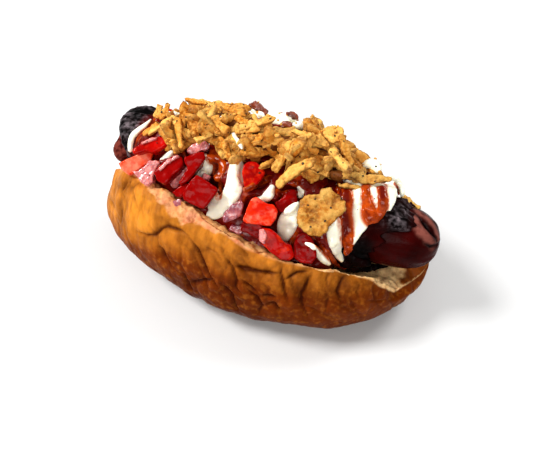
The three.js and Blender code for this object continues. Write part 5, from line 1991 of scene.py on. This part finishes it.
class HOTDOG_OT_pepper(bpy.types.Operator):
    """Sprinkle specks of black pepper and crumbs of batter"""

    bl_idname = "hotdog.pepper"
    bl_label = "Pepper and Crumbs"

    def execute(self, context):
        draw = random.Random(SPECK_SEED)
        deselect_all()
        bpy.ops.mesh.primitive_ico_sphere_add(subdivisions=1, radius=1 * MM)
        grain = named("grain_form")
        lumps(grain, 0.8, 0.5)
        specks = []
        for pixel in PEPPER:
            found = seen(pixel)
            if found:
                specks.append(self.speck(grain, found, (0.35, 0.62), draw))
        for found in self.rained(PEPPER_RAIN, draw):
            specks.append(self.speck(grain, found, PEPPER_RAIN[-1], draw))
        finish = Finish("pepper", Coat_Weight=0.1)
        finish.colour(finish.mix(finish.mottle(900), shade(18, 14, 10), shade(52, 38, 24)))
        finish.roughness(finish.mottle(900), 0.5, 0.8)
        finish_piece(join(specks, "pepper_specks"), finish.bump((2500, 0.4, 0.1)), "fried_onion")
        crumbs = []
        for found in self.rained(CRUMB_RAIN, draw):
            crumbs.append(self.speck(grain, found, CRUMB_RAIN[-1], draw))
            set_mask(crumbs[-1], "tone", draw.random())
        batter = crisp_finish("crisp_crumbs", context.scene.hot_dog.crisp)
        finish_piece(join(crumbs, "batter_crumbs"), batter, "fried_onion")
        bpy.data.objects.remove(grain)
        return {"FINISHED"}

    def rained(self, rain, draw):
        """Places that are met from above, at random over an area and not too low."""
        tries, across, along_y, lowest, _ = rain
        for _ in range(tries):
            found = hit(np.array((draw.uniform(*across), draw.uniform(*along_y), 120.0)), np.array((0, 0, -1.0)))
            if found and found[0][2] > lowest:
                yield found

    def speck(self, grain, found, sizes, draw):
        place, normal, _ = found
        size = draw.uniform(*sizes)
        rotation = turned((draw.uniform(-1, 1), draw.uniform(-1, 1), 0.2), normal)
        shape = (size, size * draw.uniform(0.6, 1), size * 0.55)
        return placed_copy(grain, place + normal * SPECK_LIFT, rotation, shape, 0.5)


# ---- Stage ----
# name: (place in metres, size in metres, watts)
LIGHTS = {
    "key": ((-0.8, -0.2, 0.9), 0.4, 13),
    "fill": ((0.1, -1.2, 0.75), 0.7, 8),
    "rim": ((0.5, 0.55, 0.8), 0.35, 4.5),
}
LIT_POINT = Vector((0, 0, 0.03))


class HOTDOG_OT_stage(bpy.types.Operator):
    """Set the pale floor, the soft lights and the camera"""

    bl_idname = "hotdog.stage"
    bl_label = "Stage"

    def execute(self, context):
        deselect_all()
        bpy.ops.mesh.primitive_plane_add(size=6)
        floor = named("pale_floor")
        floor.data.materials.append(Finish("pale_floor", Roughness=0.6, Base_Color=(0.7, 0.7, 0.7, 1)).material)
        world = bpy.data.worlds.new("studio")
        world.use_nodes = True
        background = world.node_tree.nodes["Background"].inputs
        background["Color"].default_value = (1.0, 0.99, 0.97, 1)
        background["Strength"].default_value = 0.34
        context.scene.world = world
        context.scene.view_settings.view_transform = "Standard"
        context.scene.view_settings.look = "Medium High Contrast"
        for name, (place, size, watts) in LIGHTS.items():
            lamp = bpy.data.lights.new(name, "AREA")
            lamp.size, lamp.energy = size, watts
            holder = self.added(name, lamp)
            holder.location = place
            holder.rotation_euler = (LIT_POINT - Vector(place)).to_track_quat("-Z", "Y").to_euler()
        camera = bpy.data.cameras.new("camera")
        camera.sensor_width = 36
        camera.lens = FOCAL_PIXELS / PICTURE[0] * camera.sensor_width
        camera.clip_start = 0.01
        viewer = self.added("camera", camera)
        axes = Matrix((Vector(RIGHT), Vector(UP), Vector(BACK))).transposed()
        viewer.matrix_world = Matrix.Translation(Vector(EYE * MM)) @ axes.to_4x4()
        context.scene.camera = viewer
        return {"FINISHED"}

    def added(self, name, data):
        """A new object in the scene."""
        holder = bpy.data.objects.new(name, data)
        bpy.context.scene.collection.objects.link(holder)
        return holder


# ---- Panel and registration ----
STEPS = (
    HOTDOG_OT_bun, HOTDOG_OT_sausage, HOTDOG_OT_bacon, HOTDOG_OT_bed, HOTDOG_OT_drippings, HOTDOG_OT_tomato,
    HOTDOG_OT_onion, HOTDOG_OT_mayonnaise, HOTDOG_OT_hot_sauce, HOTDOG_OT_crisps, HOTDOG_OT_flakes,
    HOTDOG_OT_bacon_bits, HOTDOG_OT_pepper, HOTDOG_OT_stage,
)


class HOTDOG_PT_panel(bpy.types.Panel):
    """Lists the settings and the steps"""

    bl_label = "Hot Dog"
    bl_idname = "HOTDOG_PT_panel"
    bl_space_type = "VIEW_3D"
    bl_region_type = "UI"
    bl_category = "Hot Dog"

    def draw(self, context):
        settings = context.scene.hot_dog
        for name in ("bun", "meat", "sauce", "vegetable", "crisp"):
            box = self.layout.box()
            part = getattr(settings, name)
            for key in part.__annotations__:
                box.prop(part, key)
        for step in STEPS:
            self.layout.operator(step.bl_idname)


SETTINGS = (BunSettings, MeatSettings, SauceSettings, VegetableSettings, CrispSettings, HotDogSettings)
CLASSES = (*SETTINGS, *STEPS, HOTDOG_PT_panel)


def register():
    for kind in CLASSES:
        bpy.utils.register_class(kind)
    bpy.types.Scene.hot_dog = PointerProperty(type=HotDogSettings)


def unregister():
    del bpy.types.Scene.hot_dog
    for kind in reversed(CLASSES):
        bpy.utils.unregister_class(kind)


def main():
    register()
    for step in STEPS:
        group_name, name = step.bl_idname.split(".")
        getattr(getattr(bpy.ops, group_name), name)()


if __name__ == "__main__":
    main()
